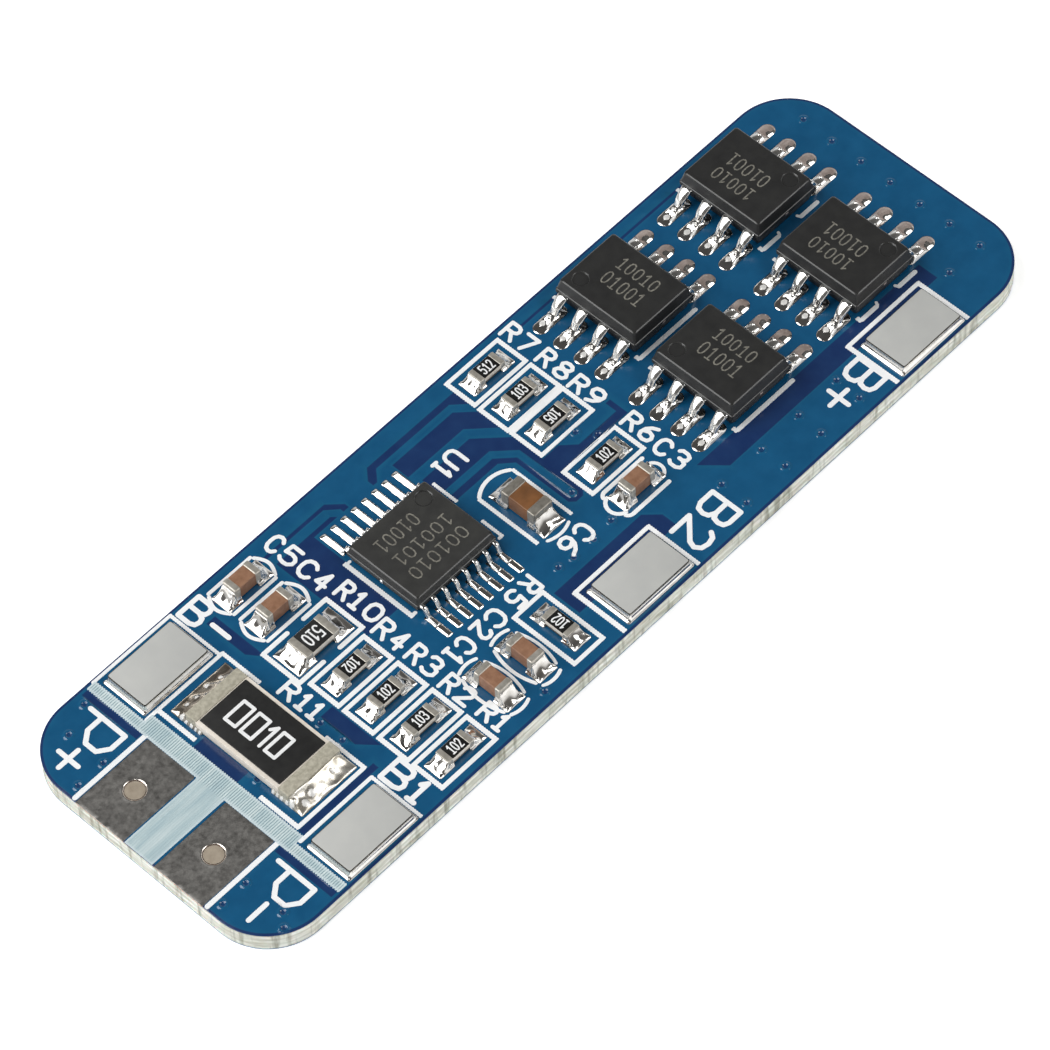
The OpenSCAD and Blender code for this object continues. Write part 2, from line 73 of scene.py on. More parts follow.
ZM = cbox("solder_mask_top")[1][2]          # top of the mask
Z_CU = cbox("copper_top")[1][2]             # top of the copper
Z_LAM = cbox("laminate")[1][2]              # top of the laminate
Z_LOW = ZM - 0.014                          # mask surface over bare laminate
Z_CHIP = cbox("resistor_r1_end_caps")[0][2]  # underside of soldered parts
HX, HY = CAD_HI[0] / MM, CAD_HI[1] / MM

# ------------------------------------------------------------------ materials


def srgb(r, g, b):
    def f(c):
        c /= 255.0
        return c / 12.92 if c <= 0.04045 else ((c + 0.055) / 1.055) ** 2.4
    return (f(r), f(g), f(b), 1.0)


def nt_new(name):
    m = bpy.data.materials.new(name)
    m.use_nodes = True
    nt = m.node_tree
    nt.nodes.clear()
    out = nt.nodes.new("ShaderNodeOutputMaterial")
    bs = nt.nodes.new("ShaderNodeBsdfPrincipled")
    nt.links.new(bs.outputs[0], out.inputs[0])
    tc = nt.nodes.new("ShaderNodeTexCoord")
    return m, nt, bs, tc


def noise_node(nt, tc, scale, detail=3.0, rough=0.55, stretch=None, dist=0.0):
    n = nt.nodes.new("ShaderNodeTexNoise")
    n.inputs["Scale"].default_value = scale
    n.inputs["Detail"].default_value = detail
    n.inputs["Roughness"].default_value = rough
    n.inputs["Distortion"].default_value = dist
    if stretch:
        mp = nt.nodes.new("ShaderNodeMapping")
        mp.inputs["Scale"].default_value = stretch
        nt.links.new(tc.outputs["Object"], mp.inputs["Vector"])
        nt.links.new(mp.outputs[0], n.inputs["Vector"])
    else:
        nt.links.new(tc.outputs["Object"], n.inputs["Vector"])
    return n


def ramp(nt, src, stops):
    r = nt.nodes.new("ShaderNodeValToRGB")
    el = r.color_ramp.elements
    while len(el) > len(stops):
        el.remove(el[-1])
    while len(el) < len(stops):
        el.new(0.5)
    for e, (p, c) in zip(el, stops):
        e.position = p
        e.color = c if len(c) == 4 else (*c, 1.0)
    nt.links.new(src, r.inputs[0])
    return r


def maprange(nt, src, a, b, lo, hi):
    r = nt.nodes.new("ShaderNodeMapRange")
    r.inputs["From Min"].default_value = a
    r.inputs["From Max"].default_value = b
    r.inputs["To Min"].default_value = lo
    r.inputs["To Max"].default_value = hi
    nt.links.new(src, r.inputs["Value"])
    return r


def mixc(nt, fac, a, b, mode="MIX"):
    m = nt.nodes.new("ShaderNodeMix")
    m.data_type = "RGBA"
    m.blend_type = mode
    if isinstance(fac, float):
        m.inputs[0].default_value = fac
    else:
        nt.links.new(fac, m.inputs[0])
    for s, v in ((6, a), (7, b)):
        if isinstance(v, tuple):
            m.inputs[s].default_value = v
        else:
            nt.links.new(v, m.inputs[s])
    return m.outputs[2]


def bump(nt, bs, src, strength, dist):
    b = nt.nodes.new("ShaderNodeBump")
    b.inputs["Strength"].default_value = strength
    b.inputs["Distance"].default_value = dist * MM
    nt.links.new(src, b.inputs["Height"])
    nt.links.new(b.outputs[0], bs.inputs["Normal"])
    return b


def plain(name, lo, hi, rough, metallic=0.0, scale=2500, stretch=None, bscale=9000, bstr=0.2,
          bdist=0.004, spec=0.5, detail=3.0, dist=0.0, a=0.3, b=0.7):
    """Two colours mixed by noise, roughness and bump from their own noises."""
    m, nt, bs, tc = nt_new(name)
    n = noise_node(nt, tc, scale, detail, stretch=stretch, dist=dist)
    r = ramp(nt, n.outputs["Fac"], [(a, lo), (b, hi)])
    nt.links.new(r.outputs[0], bs.inputs["Base Color"])
    n2 = noise_node(nt, tc, scale * 1.7, 2.0)
    rr = maprange(nt, n2.outputs["Fac"], 0.3, 0.7, rough[0], rough[1])
    nt.links.new(rr.outputs[0], bs.inputs["Roughness"])
    bs.inputs["Metallic"].default_value = metallic
    bs.inputs["Specular IOR Level"].default_value = spec
    n3 = noise_node(nt, tc, bscale, 2.0)
    bump(nt, bs, n3.outputs["Fac"], bstr, bdist)
    return m


def mask_material():
    m, nt, bs, tc = nt_new("blue_solder_mask")
    at = nt.nodes.new("ShaderNodeAttribute")
    at.attribute_name = "tone"
    sep = nt.nodes.new("ShaderNodeSeparateColor")
    nt.links.new(at.outputs["Color"], sep.inputs[0])
    n = noise_node(nt, tc, 900, 3.0)
    cu = ramp(nt, n.outputs["Fac"], [(0.3, srgb(14, 81, 122)), (0.7, srgb(21, 90, 132))])
    gap = ramp(nt, n.outputs["Fac"], [(0.3, srgb(21, 48, 96)), (0.7, srgb(28, 58, 105))])
    c = mixc(nt, sep.outputs[0], gap.outputs[0], cu.outputs[0])
    # The tone's second channel blends in a light teal: along copper edges partly the thinner mask there and partly
    # painted highlight, round each via a painted glint.
    c = mixc(nt, sep.outputs[1], c, srgb(26, 98, 132))
    nt.links.new(c, bs.inputs["Base Color"])
    n2 = noise_node(nt, tc, 1600, 2.0)
    rr = maprange(nt, n2.outputs["Fac"], 0.3, 0.7, 0.17, 0.24)
    rs = nt.nodes.new("ShaderNodeMath")
    rs.operation = "MULTIPLY"
    nt.links.new(rr.outputs[0], rs.inputs[0])
    sh = maprange(nt, sep.outputs[2], 0.0, 1.0, 1.0, 0.45)
    nt.links.new(sh.outputs[0], rs.inputs[1])
    nt.links.new(rs.outputs[0], bs.inputs["Roughness"])
    bs.inputs["Specular IOR Level"].default_value = 0.7
    n3 = noise_node(nt, tc, 2600, 3.0)
    bump(nt, bs, n3.outputs["Fac"], 0.05, 0.004)
    return m


def laminate_material():
    m, nt, bs, tc = nt_new("glass_epoxy_edge")
    n = noise_node(nt, tc, 700, 4.0, stretch=(1.0, 1.0, 7.0))
    r = ramp(nt, n.outputs["Fac"], [(0.25, srgb(168, 168, 150)), (0.5, srgb(210, 211, 201)), (0.75, srgb(240, 241, 236))])
    # Woven glass plies as faint level bands.
    w = nt.nodes.new("ShaderNodeTexWave")
    w.wave_type = "BANDS"
    w.bands_direction = "Z"
    w.inputs["Scale"].default_value = 900
    w.inputs["Distortion"].default_value = 2.5
    w.inputs["Detail"].default_value = 3
    w.inputs["Detail Scale"].default_value = 2.0
    nt.links.new(tc.outputs["Object"], w.inputs["Vector"])
    wr = ramp(nt, w.outputs["Fac"], [(0.0, (0.72, 0.72, 0.69)), (1.0, (1.0, 1.0, 1.0))])
    c = mixc(nt, 0.75, r.outputs[0], wr.outputs[0], "MULTIPLY")
    # Vertical nicks from the routing cutter.
    n4 = noise_node(nt, tc, 2600, 3.0, stretch=(1.0, 1.0, 0.12))
    nr = ramp(nt, n4.outputs["Fac"], [(0.34, (0.36, 0.36, 0.31)), (0.50, (1.0, 1.0, 1.0))])
    c = mixc(nt, 0.8, c, nr.outputs[0], "MULTIPLY")
    nt.links.new(c, bs.inputs["Base Color"])
    bs.inputs["Roughness"].default_value = 0.62
    bs.inputs["Specular IOR Level"].default_value = 0.35
    bs.inputs["Subsurface Weight"].default_value = 0.25
    bs.inputs["Subsurface Scale"].default_value = 0.0004
    bump(nt, bs, n4.outputs["Fac"], 0.5, 0.02)
    return m


def ink_material(name, lo, hi):
    m, nt, bs, tc = nt_new(name)
    n = noise_node(nt, tc, 1900, 4.0, stretch=(0.5, 2.0, 1.0))
    r = ramp(nt, n.outputs["Fac"], [(0.3, lo), (0.7, hi)])
    nt.links.new(r.outputs[0], bs.inputs["Base Color"])
    bs.inputs["Roughness"].default_value = 0.5
    bs.inputs["Specular IOR Level"].default_value = 0.3
    n3 = noise_node(nt, tc, 7000, 2.0)
    bump(nt, bs, n3.outputs["Fac"], 0.25, 0.006)
    return m


def band_material():
    """Thin ink laid in passes 0.13 mm apart: ridges along X, strongest where the band is narrow."""
    m, nt, bs, tc = nt_new("legend_ink_thin")
    at = nt.nodes.new("ShaderNodeAttribute")
    at.attribute_name = "tone"
    sep = nt.nodes.new("ShaderNodeSeparateColor")
    nt.links.new(at.outputs["Color"], sep.inputs[0])
    w = nt.nodes.new("ShaderNodeTexWave")
    w.wave_type = "BANDS"
    w.bands_direction = "Y"
    w.inputs["Scale"].default_value = 0.31416 / 0.00012
    w.inputs["Distortion"].default_value = 1.3
    w.inputs["Detail"].default_value = 3
    w.inputs["Detail Scale"].default_value = 1.6
    nt.links.new(tc.outputs["Object"], w.inputs["Vector"])
    n = noise_node(nt, tc, 900, 4.0, stretch=(0.25, 3.0, 1.0))
    base = ramp(nt, n.outputs["Fac"], [(0.28, srgb(164, 188, 196)), (0.5, srgb(184, 204, 208)), (0.72, srgb(204, 219, 221))])
    st = ramp(nt, w.outputs["Fac"], [(0.0, (0.34, 0.42, 0.47)), (0.22, (0.96, 0.99, 1.00)), (0.6, (1.12, 1.10, 1.09)),
                                     (1.0, (1.30, 1.24, 1.20))])
    c = mixc(nt, sep.outputs[2], base.outputs[0], mixc(nt, 1.0, base.outputs[0], st.outputs[0], "MULTIPLY"))
    c = mixc(nt, sep.outputs[1], c, srgb(214, 228, 232))
    nt.links.new(c, bs.inputs["Base Color"])
    bs.inputs["Roughness"].default_value = 0.42
    bs.inputs["Specular IOR Level"].default_value = 0.4
    bump(nt, bs, w.outputs["Fac"], 0.7, 0.008)
    return m


M_MASK = mask_material()
M_LAM = laminate_material()
M_INK = ink_material("legend_ink", srgb(247, 250, 251), srgb(255, 255, 255))
M_INKB = band_material()
M_COPPER = plain("copper_foil", srgb(186, 116, 78), srgb(206, 138, 98), (0.3, 0.45), 1.0)
M_EPOXY = plain("moulded_epoxy", srgb(34, 34, 34), srgb(43, 43, 42), (0.46, 0.56), 0.0, 1400, bscale=16000, bstr=0.35,
                bdist=0.006, spec=0.42)
M_EPOXY_IC = plain("moulded_epoxy_fine", srgb(47, 47, 46), srgb(57, 57, 55), (0.46, 0.56), 0.0, 1400, bscale=16000,
                   bstr=0.3, bdist=0.005, spec=0.42)
M_ETCH = plain("etched_epoxy", srgb(88, 86, 80), srgb(144, 141, 131), (0.6, 0.75), 0.0, 9000, bscale=22000, bstr=0.3,
               bdist=0.004, spec=0.3)
M_DIMPLE = plain("moulded_smooth", srgb(36, 36, 36), srgb(42, 42, 41), (0.24, 0.30), 0.0, 1400, bscale=12000, bstr=0.06,
                 bdist=0.002, spec=0.6)
M_LEAD = plain("tinned_lead", srgb(228, 227, 223), srgb(243, 242, 239), (0.13, 0.19), 1.0, 3500, bscale=3000, bstr=0.008,
               bdist=0.002)
M_SOLDER = plain("reflowed_solder", srgb(212, 208, 202), srgb(238, 236, 232), (0.09, 0.16), 1.0, 1800, bscale=2400,
                 bstr=0.07, bdist=0.010)
M_FLUX = plain("dull_solder", srgb(166, 150, 142), srgb(196, 182, 174), (0.16, 0.25), 0.40, 1800, bscale=3200, bstr=0.08,
               bdist=0.008)
M_DULL = plain("brown_grey_solder", srgb(140, 130, 118), srgb(206, 197, 184), (0.12, 0.22), 0.9, 1500, bscale=2600, bstr=0.12,
               bdist=0.012)
M_CREAMY = plain("mottled_solder", srgb(190, 182, 166), srgb(242, 238, 228), (0.22, 0.34), 0.9, 1500, bscale=2600, bstr=0.16,
                 bdist=0.014)
# Near-white, rough, barely metallic solder for the beads on the joints: a painted highlight, bright from any side.
M_PAINTED_HIGHLIGHT_BEADS = plain("solder_beads_painted_highlight", srgb(240, 238, 233), srgb(252, 251, 248), (0.28, 0.36), 0.3, 1500, bscale=2600,
               bstr=0.05, bdist=0.008)
M_TIN = plain("dull_dipped_tin", srgb(126, 124, 121), srgb(160, 158, 154), (0.42, 0.60), 1.0, 3000, bscale=6500,
              bstr=0.40, bdist=0.007, detail=6.0, dist=0.3)
M_PLUG = plain("solder_plug", srgb(178, 164, 145), srgb(200, 187, 168), (0.34, 0.46), 0.40, 2500, bscale=5200, bstr=0.2,
               bdist=0.008)
M_RIM = plain("solder_rim", srgb(222, 214, 204), srgb(240, 234, 226), (0.16, 0.26), 1.0, 2500, bscale=5200, bstr=0.1,
              bdist=0.006)
M_NICKEL = plain("satin_nickel", srgb(204, 205, 202), srgb(210, 211, 207), (0.50, 0.54), 0.3, 900, bscale=14000,
                 bstr=0.04, bdist=0.002)
# Dark grey-brown for the rounded top edge of each nickel tab, a dark line round its top face.
M_DARK_EDGE_BAND = plain("dark_nickel_edge_band", srgb(40, 38, 34), srgb(70, 66, 58), (0.5, 0.6), 0.6, 2600, bscale=9000, bstr=0.2,
               bdist=0.004)
M_NICKEL_EDGE = plain("sheared_nickel", srgb(206, 200, 186), srgb(232, 228, 218), (0.22, 0.32), 1.0, 2600, bscale=9000,
                      bstr=0.2, bdist=0.006)
M_CAP = plain("plated_end_cap", srgb(176, 171, 160), srgb(206, 201, 191), (0.34, 0.48), 0.6, 4200, bscale=9000, bstr=0.3,
              bdist=0.008)
M_CREAM = plain("matt_end_cap", srgb(168, 163, 146), srgb(196, 191, 174), (0.55, 0.7), 0.2, 5200, bscale=9000,
                bstr=0.5, bdist=0.012, a=0.35, b=0.65)
M_ALUMINA = plain("alumina", srgb(226, 216, 202), srgb(240, 233, 222), (0.45, 0.55), 0.0, 3000, bscale=9000, bstr=0.2,
                  bdist=0.006)
M_GLAZE = plain("black_glaze", srgb(33, 33, 33), srgb(42, 42, 41), (0.40, 0.50), 0.0, 2600, bscale=7000, bstr=0.2,
                bdist=0.006, spec=0.4)
M_CAP6 = plain("plated_end_cap_tall", srgb(140, 135, 126), srgb(168, 163, 153), (0.34, 0.48), 0.6, 4200, bscale=9000,
               bstr=0.3, bdist=0.008)
M_GLAZE_S = plain("black_glaze_small", srgb(13, 13, 13), srgb(20, 20, 19), (0.45, 0.55), 0.0, 2600, bscale=7000, bstr=0.15,
                  bdist=0.004, spec=0.3)
# Dark grey-brown for the lower part of each chip resistor's alumina sides: painted shade; the alumina itself is pale
# all the way down.
M_SIDE_PAINTED_SHADE = plain("alumina_lower_side_painted_shade", srgb(70, 66, 60), srgb(104, 98, 90), (0.5, 0.6), 0.0, 3600, bscale=9000, bstr=0.3,
               bdist=0.006)
M_MLCC = plain("brown_ceramic", srgb(134, 96, 72), srgb(158, 118, 92), (0.42, 0.52), 0.0, 3200, bscale=9000, bstr=0.2,
               bdist=0.005)
M_MLCC6 = plain("dark_brown_ceramic", srgb(108, 72, 42), srgb(138, 92, 54), (0.36, 0.46), 0.0, 1300, bscale=9000,
                bstr=0.2, bdist=0.005)
M_VALUE = plain("value_ink", srgb(236, 238, 238), srgb(250, 250, 250), (0.45, 0.55), 0.0, 5000, bscale=12000, bstr=0.2,
                bdist=0.004)

# ------------------------------------------------------------------ mesh tools


def place(x=0.0, y=0.0, deg=0.0, z=0.0):
    c, s = math.cos(math.radians(deg)), math.sin(math.radians(deg))
    return lambda p: (x + c * p[0] - s * p[1], y + s * p[0] + c * p[1], z + p[2])


class Mesh:
    """Collects faces in millimetres and writes one object in metres."""

    def __init__(self):
        self.v, self.f, self.m, self.c = [], [], [], []

    def add(self, v, f, mi=0, T=None, col=None):
        b = len(self.v)
        self.v += [T(p) for p in v] if T else [tuple(p) for p in v]
        self.f += [tuple(i + b for i in q) for q in f]
        self.m += list(mi) if isinstance(mi, (list, tuple)) else [mi] * len(f)
        self.c += col if col is not None else [(1.0, 0.0, 0.0, 1.0)] * len(v)

    def build(self, name, mats, nodes=(), angle=40.0, attr=False):
        me = bpy.data.meshes.new(name)
        me.from_pydata([(x * MM, y * MM, z * MM) for x, y, z in self.v], [], self.f)
        for m in mats:
            me.materials.append(m)
        me.polygons.foreach_set("material_index", self.m)
        me.polygons.foreach_set("use_smooth", [True] * len(me.polygons))
        if attr:
            ca = me.color_attributes.new("tone", "FLOAT_COLOR", "POINT")
            ca.data.foreach_set("color", np.array(self.c, np.float32).ravel())
        me.update()
        me.set_sharp_from_angle(angle=math.radians(angle))
        o = bpy.data.objects.new(name, me)
        bpy.context.scene.collection.objects.link(o)
        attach(o, "root")
        if nodes:
            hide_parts(*nodes)
        return o


def ccw(p):
    a = sum(p[i][0] * p[(i + 1) % len(p)][1] - p[(i + 1) % len(p)][0] * p[i][1] for i in range(len(p)))
    return list(p) if a > 0 else list(p)[::-1]


def rrect(cx, cy, hx, hy, r, n=5):
    out = []
    for sx, sy, a0 in ((1, 1, 0), (-1, 1, 90), (-1, -1, 180), (1, -1, 270)):
        for k in range(n + 1):
            a = math.radians(a0 + 90.0 * k / n)
            out.append((cx + sx * (hx - r) + r * math.cos(a), cy + sy * (hy - r) + r * math.sin(a)))
    return out


def circle(cx, cy, r, n=24):
    return [(cx + r * math.cos(2 * math.pi * k / n), cy + r * math.sin(2 * math.pi * k / n)) for k in range(n)]


def capsule(x0, y0, x1, y1, w, n=6):
    a = math.atan2(y1 - y0, x1 - x0) if (x0, y0) != (x1, y1) else 0.0
    r = w / 2
    out = [(x1 + r * math.cos(a - math.pi / 2 + math.pi * k / n), y1 + r * math.sin(a - math.pi / 2 + math.pi * k / n))
           for k in range(n + 1)]
    out += [(x0 + r * math.cos(a + math.pi / 2 + math.pi * k / n), y0 + r * math.sin(a + math.pi / 2 + math.pi * k / n))
            for k in range(n + 1)]
    return out


def loft(rings, cap0=True, cap1=True):
    n = len(rings[0])
    v = [p for r in rings for p in r]
    f = []
    for i in range(len(rings) - 1):
        for j in range(n):
            k = (j + 1) % n
            f.append((i * n + j, i * n + k, (i + 1) * n + k, (i + 1) * n + j))
    if cap0:
        f.append(tuple(range(n - 1, -1, -1)))
    if cap1:
        f.append(tuple(range((len(rings) - 1) * n, len(rings) * n)))
    return v, f


def rbox(x0, x1, y0, y1, z0, z1, r=0.03, seg=3, rc=None):
    """Box with all its edges rounded."""
    cx, cy, hx, hy = (x0 + x1) / 2, (y0 + y1) / 2, (x1 - x0) / 2, (y1 - y0) / 2
    rc = rc or r * 1.2
    prof = []
    for k in range(seg + 1):
        a = math.pi / 2 * k / seg
        prof.append((r * (1 - math.sin(a)), z0 + r * (1 - math.cos(a))))
    for k in range(seg + 1):
        a = math.pi / 2 * k / seg
        prof.append((r * (1 - math.cos(a)), z1 - r + r * math.sin(a)))
    rings = [[(x, y, z) for x, y in rrect(cx, cy, hx - i, hy - i, max(rc - i, 0.004), 3)] for i, z in prof]
    return loft(rings)


def cdt(loops, extra=(), edges=()):
    vs, fs = [], []
    for p in loops:
        b = len(vs)
        vs += [Vector(q) for q in ccw(p)]
        fs.append(list(range(b, len(vs))))
    es = []
    for line in edges:
        b = len(vs)
        vs += [Vector(q) for q in line]
        es += [(b + i, b + (i + 1) % len(line)) for i in range(len(line))]
    vs += [Vector(q) for q in extra]
    v, e, f, ov, oe, of = delaunay_2d_cdt(vs, es, fs, 0, 1e-5)
    return v, f, of


def sheet(loops, holes=(), ztop=0.0, zbot=0.0, extra=(), edges=(), clip=None, colour=None):
    """One closed slab over the union of loops, less the holes (and inside clip), with its own top height."""
    nl, nh = len(loops), len(holes)
    v, f, of = cdt(list(loops) + list(holes) + ([clip] if clip else []), extra, edges)
    keep = []
    for t, ids in zip(f, of):
        if not any(i < nl for i in ids) or any(nl <= i < nl + nh for i in ids):
            continue
        if clip and not any(i == nl + nh for i in ids):
            continue
        keep.append(t)
    used = sorted({i for t in keep for i in t})
    idx = {o: n for n, o in enumerate(used)}
    pts = [(v[o][0], v[o][1]) for o in used]
    zt = ztop if callable(ztop) else (lambda x, y: ztop)
    zb = zbot if callable(zbot) else (lambda x, y: zbot)
    n = len(pts)
    vert = [(x, y, zt(x, y)) for x, y in pts] + [(x, y, zb(x, y)) for x, y in pts]
    top = [tuple(idx[i] for i in t) for t in keep]
    faces = list(top) + [tuple(i + n for i in reversed(t)) for t in top]
    seen = {(t[k], t[(k + 1) % len(t)]) for t in top for k in range(len(t))}
    for a, b in seen:
        if (b, a) not in seen:
            faces.append((a + n, b + n, b, a))
    col = None
    if colour is not None:
        c = [colour(x, y) for x, y in pts]
        col = c + c
    return vert, faces, len(top), col


def arc_path(pts, radii, n=4):
    """A polyline with its inner corners rounded."""
    out = [pts[0]]
    for i in range(1, len(pts) - 1):
        p0, p1, p2 = (Vector(q) for q in (pts[i - 1], pts[i], pts[i + 1]))
        a, b = (p0 - p1).normalized(), (p2 - p1).normalized()
        half = a.angle(b) / 2
        d = min(radii[i - 1] / math.tan(half), (p0 - p1).length * 0.49, (p2 - p1).length * 0.49)
        q0, q2 = p1 + a * d, p1 + b * d
        for k in range(n + 1):
            t = k / n
            out.append(tuple(q0 * (1 - t) ** 2 + p1 * 2 * t * (1 - t) + q2 * t * t))
    out.append(pts[-1])
    return out


def ribbon(path, th, w, bev=0.02, crown=None, ridge=0.0, dam=(0.0, 1.0)):
    """A strip of thickness th and width w along a path in the (u, z) plane, edges chamfered or the top crowned."""
    rings = []
    n = len(path)
    h2 = th / 2
    if crown:
        sec = [(-w / 2, h2 - crown * 0.8), (-w / 2 + bev, -h2), (w / 2 - bev, -h2), (w / 2, h2 - crown),
               ((w / 2 + ridge) / 2 + 0.005, h2 - crown * 0.46), (ridge + 0.015, h2), (ridge - 0.015, h2),
               ((ridge - w / 2) / 2, h2 - crown * 0.36)]
    else:
        sec = [(-w / 2, -h2 + bev), (-w / 2 + bev, -h2), (w / 2 - bev, -h2), (w / 2, -h2 + bev),
               (w / 2, h2 - bev), (w / 2 - bev, h2), (-w / 2 + bev, h2), (-w / 2, h2 - bev)]
    for i, (u, z) in enumerate(path):
        a = Vector(path[max(i - 1, 0)])
        b = Vector(path[min(i + 1, n - 1)])
        t = (b - a).normalized()
        nn = Vector((-t[1], t[0]))
        k = dam[1] + (1.0 - dam[1]) * smooth(dam[0] - 0.03, dam[0] + 0.03, u)
        rings.append([(u + nn[0] * q, p * k, z + nn[1] * q) for p, q in sec])
    # The end is rounded off by one short, smaller ring.
    t = (Vector(path[-1]) - Vector(path[-2])).normalized()
    u, z = path[-1][0] + t[0] * bev, path[-1][1] + t[1] * bev
    nn = Vector((-t[1], t[0]))
    rings.append([(u + nn[0] * q * 0.75, p * 0.9, z + nn[1] * q * 0.75) for p, q in sec])
    v, f = loft(rings)
    return v, [tuple(reversed(q)) for q in f]


def sq_to_rrect(s, t, hx, hy, r):
    x, y = s * hx, t * hy
    ax, ay = abs(x) - (hx - r), abs(y) - (hy - r)
    if ax > 0 and ay > 0:
        m = max(ax, ay) / math.hypot(ax, ay)
        x = math.copysign(hx - r + ax * m, x)
        y = math.copysign(hy - r + ay * m, y)
    return x, y


def blob(cx, cy, hx, hy, r, nx, ny, zf, skirt):
    """A closed lump whose top height is zf over a rounded rectangle."""
    v, f = [], []
    for j in range(ny + 1):
        for i in range(nx + 1):
            x, y = sq_to_rrect(2 * i / nx - 1, 2 * j / ny - 1, hx, hy, r)
            x, y = x + cx, y + cy
            v.append((x, y, zf(x, y)))
    w = nx + 1
    for j in range(ny):
        for i in range(nx):
            a = j * w + i
            f.append((a, a + 1, a + 1 + w, a + w))
    rim = [i for i in range(nx)] + [nx + j * w for j in range(ny)] + [ny * w + nx - i for i in range(nx)] + \
          [(ny - j) * w for j in range(ny)]
    b = len(v)
    for i in rim:
        v.append((v[i][0], v[i][1], skirt))
    n = len(rim)
    for k in range(n):
        f.append((rim[(k + 1) % n], rim[k], b + k, b + (k + 1) % n))
    f.append(tuple(b + k for k in reversed(range(n))))
    return v, f


def wob(x, y, s=1.0, seed=0.0):
    return noise.noise(Vector((x * s + seed * 13.7, y * s - seed * 7.1, seed)))


# ------------------------------------------------------------------ layout, read from the frame
Q = [centre("mosfet_q%d_body" % i) for i in (1, 2, 3, 4)]
Q_TURN = [0, 180, 0, 180]
U = centre("protection_ic_body")
RS = centre("shunt_r11_ceramic")
R = [centre("resistor_r%d_end_caps" % i) for i in range(1, 11)]
C = [centre("capacitor_c%d_end_caps" % i) for i in range(1, 7)]
T = [centre("nickel_tab_" + n) for n in ("b_minus", "b1", "b2", "b_plus")]
R_TURN = [0, 0, 0, 0, 90, 0, 0, 0, 0, 0]
C_TURN = [90, 90, 0, 0, 0, 90]
# inner end, outer end and width of each part's pads
R_PAD = [(0.5, 1.46, 1.06)] * 4 + [(0.5, 1.38, 1.1)] + [(0.5, 1.34, 1.1)] * 4 + [(0.6, 1.76, 1.7)]
C_PAD = [(0.5, 1.4, 1.2), (0.5, 1.4, 1.2), (0.5, 1.34, 1.2), (0.5, 1.42, 1.2), (0.5, 1.42, 1.2), (0.6, 1.72, 1.45)]
SO_IN, SO_OUT, SO_PW, SO_P = 1.9, 3.9, 0.76, 1.27
TS_IN, TS_OUT, TS_PW, TS_P = 2.45, 3.97, 0.36, 0.65
RS_PAD = (2.1, 4.03, 3.42)
TAB_PAD = (2.15, 1.31)

VIAS = [(23.70, 5.49), (23.60, 3.65), (23.60, 1.85), (23.57, 0.05), (23.52, -1.80), (23.56, -3.56), (23.54, -5.40),
        (21.45, -5.38), (8.41, -5.62), (10.91, -5.60), (13.50, -5.57), (8.45, -7.0), (10.84, -7.0), (13.45, -6.98),
        (5.83, -5.57), (5.83, -7.06), (1.07, -0.93), (1.13, -3.25), (-2.27, -3.23), (-1.42, -3.36), (-0.13, -3.36),
        (-22.80, 6.53), (-21.26, 7.15), (-24.33, 4.36), (-22.80, 4.38), (-24.33, -4.43), (-22.95, -4.43),
        (-22.90, -6.60), (-23.43, -7.18), (-18.92, -1.14), (-15.07, -1.14), (-15.07, -2.47), (-7.39, -7.23),
        (3.58, 1.19), (4.17, 0.36)]
BLOCK_VIAS = [(-24.25, 0.52), (-22.87, 0.52), (-21.6, 0.52), (-20.32, 1.48), (-20.25, -0.1), (-20.3, -2.4)]

GAPS = [
    [(5.85, -4.02), (6.85, -5.15), (20.9, -5.15), (20.9, -4.02)],
    [(6.2, 7.0), (17.2, 7.0), (17.2, 7.15), (6.2, 7.15)],
    [(-3.4, -4.0), (2.25, -4.0), (2.9, -4.7), (2.9, -5.55), (-3.4, -5.55)],
    [(-13.8, 6.82), (-6.75, 6.82), (-6.1, 6.15), (-6.1, 5.9), (-6.45, 5.9), (-6.45, 6.1), (-7.0, 6.62), (-13.8, 6.62)],
    [(-10.45, 6.15), (-7.05, 6.15), (-6.8, 5.9), (-8.3, 5.9), (-8.3, 0.5), (-10.45, 0.5)],
    [(-4.55, 5.9), (-4.55, 6.25), (-4.05, 6.8), (1.6, 6.8), (1.6, 5.75), (0.9, 6.45), (-3.8, 6.45), (-4.3, 5.9)],
    [(-3.2, 6.05), (0.7, 6.05), (1.6, 5.15), (1.6, 3.8), (0.35, 5.05), (-3.2, 5.05)],
    [(-2.9, 4.5), (0.15, 4.5), (1.55, 3.1), (1.55, -1.15), (1.3, -1.4), (0.85, -1.4), (0.6, -1.15), (0.6, 2.05),
     (0.0, 2.6), (-2.9, 2.6)],
    [(1.4, 1.3), (2.55, 1.3), (3.2, 0.65), (5.65, 0.65), (5.65, 1.3), (5.95, 1.3), (5.95, 0.2), (1.4, 0.2)],
    [(-19.65, -0.6), (-18.9, -0.6), (-18.9, 2.1), (-19.65, 2.1)],
    [(-19.6, -4.58), (-15.0, -4.58), (-15.0, -4.24), (-19.6, -4.24)],
    [(-14.85, -0.9), (-14.1, -0.9), (-14.1, -3.9), (-14.85, -3.0)],
    [(-14.75, 6.2), (-14.2, 6.2), (-14.2, 3.3), (-14.4, 3.3), (-14.75, 3.8)],
    [(-21.0, 4.2), (-20.64, 4.2), (-20.64, 7.6), (-21.0, 7.6)],
    [(-21.0, -7.6), (-20.64, -7.6), (-20.64, -4.2), (-21.0, -4.2)],
]
ISLAND = [(-3.0, 3.35), (0.25, 3.35), (1.2, 2.4), (1.25, -1.05), (1.13, -1.15), (0.95, -1.15), (0.85, -1.05),
          (0.85, 2.2), (0.05, 2.98), (-3.0, 2.98)]


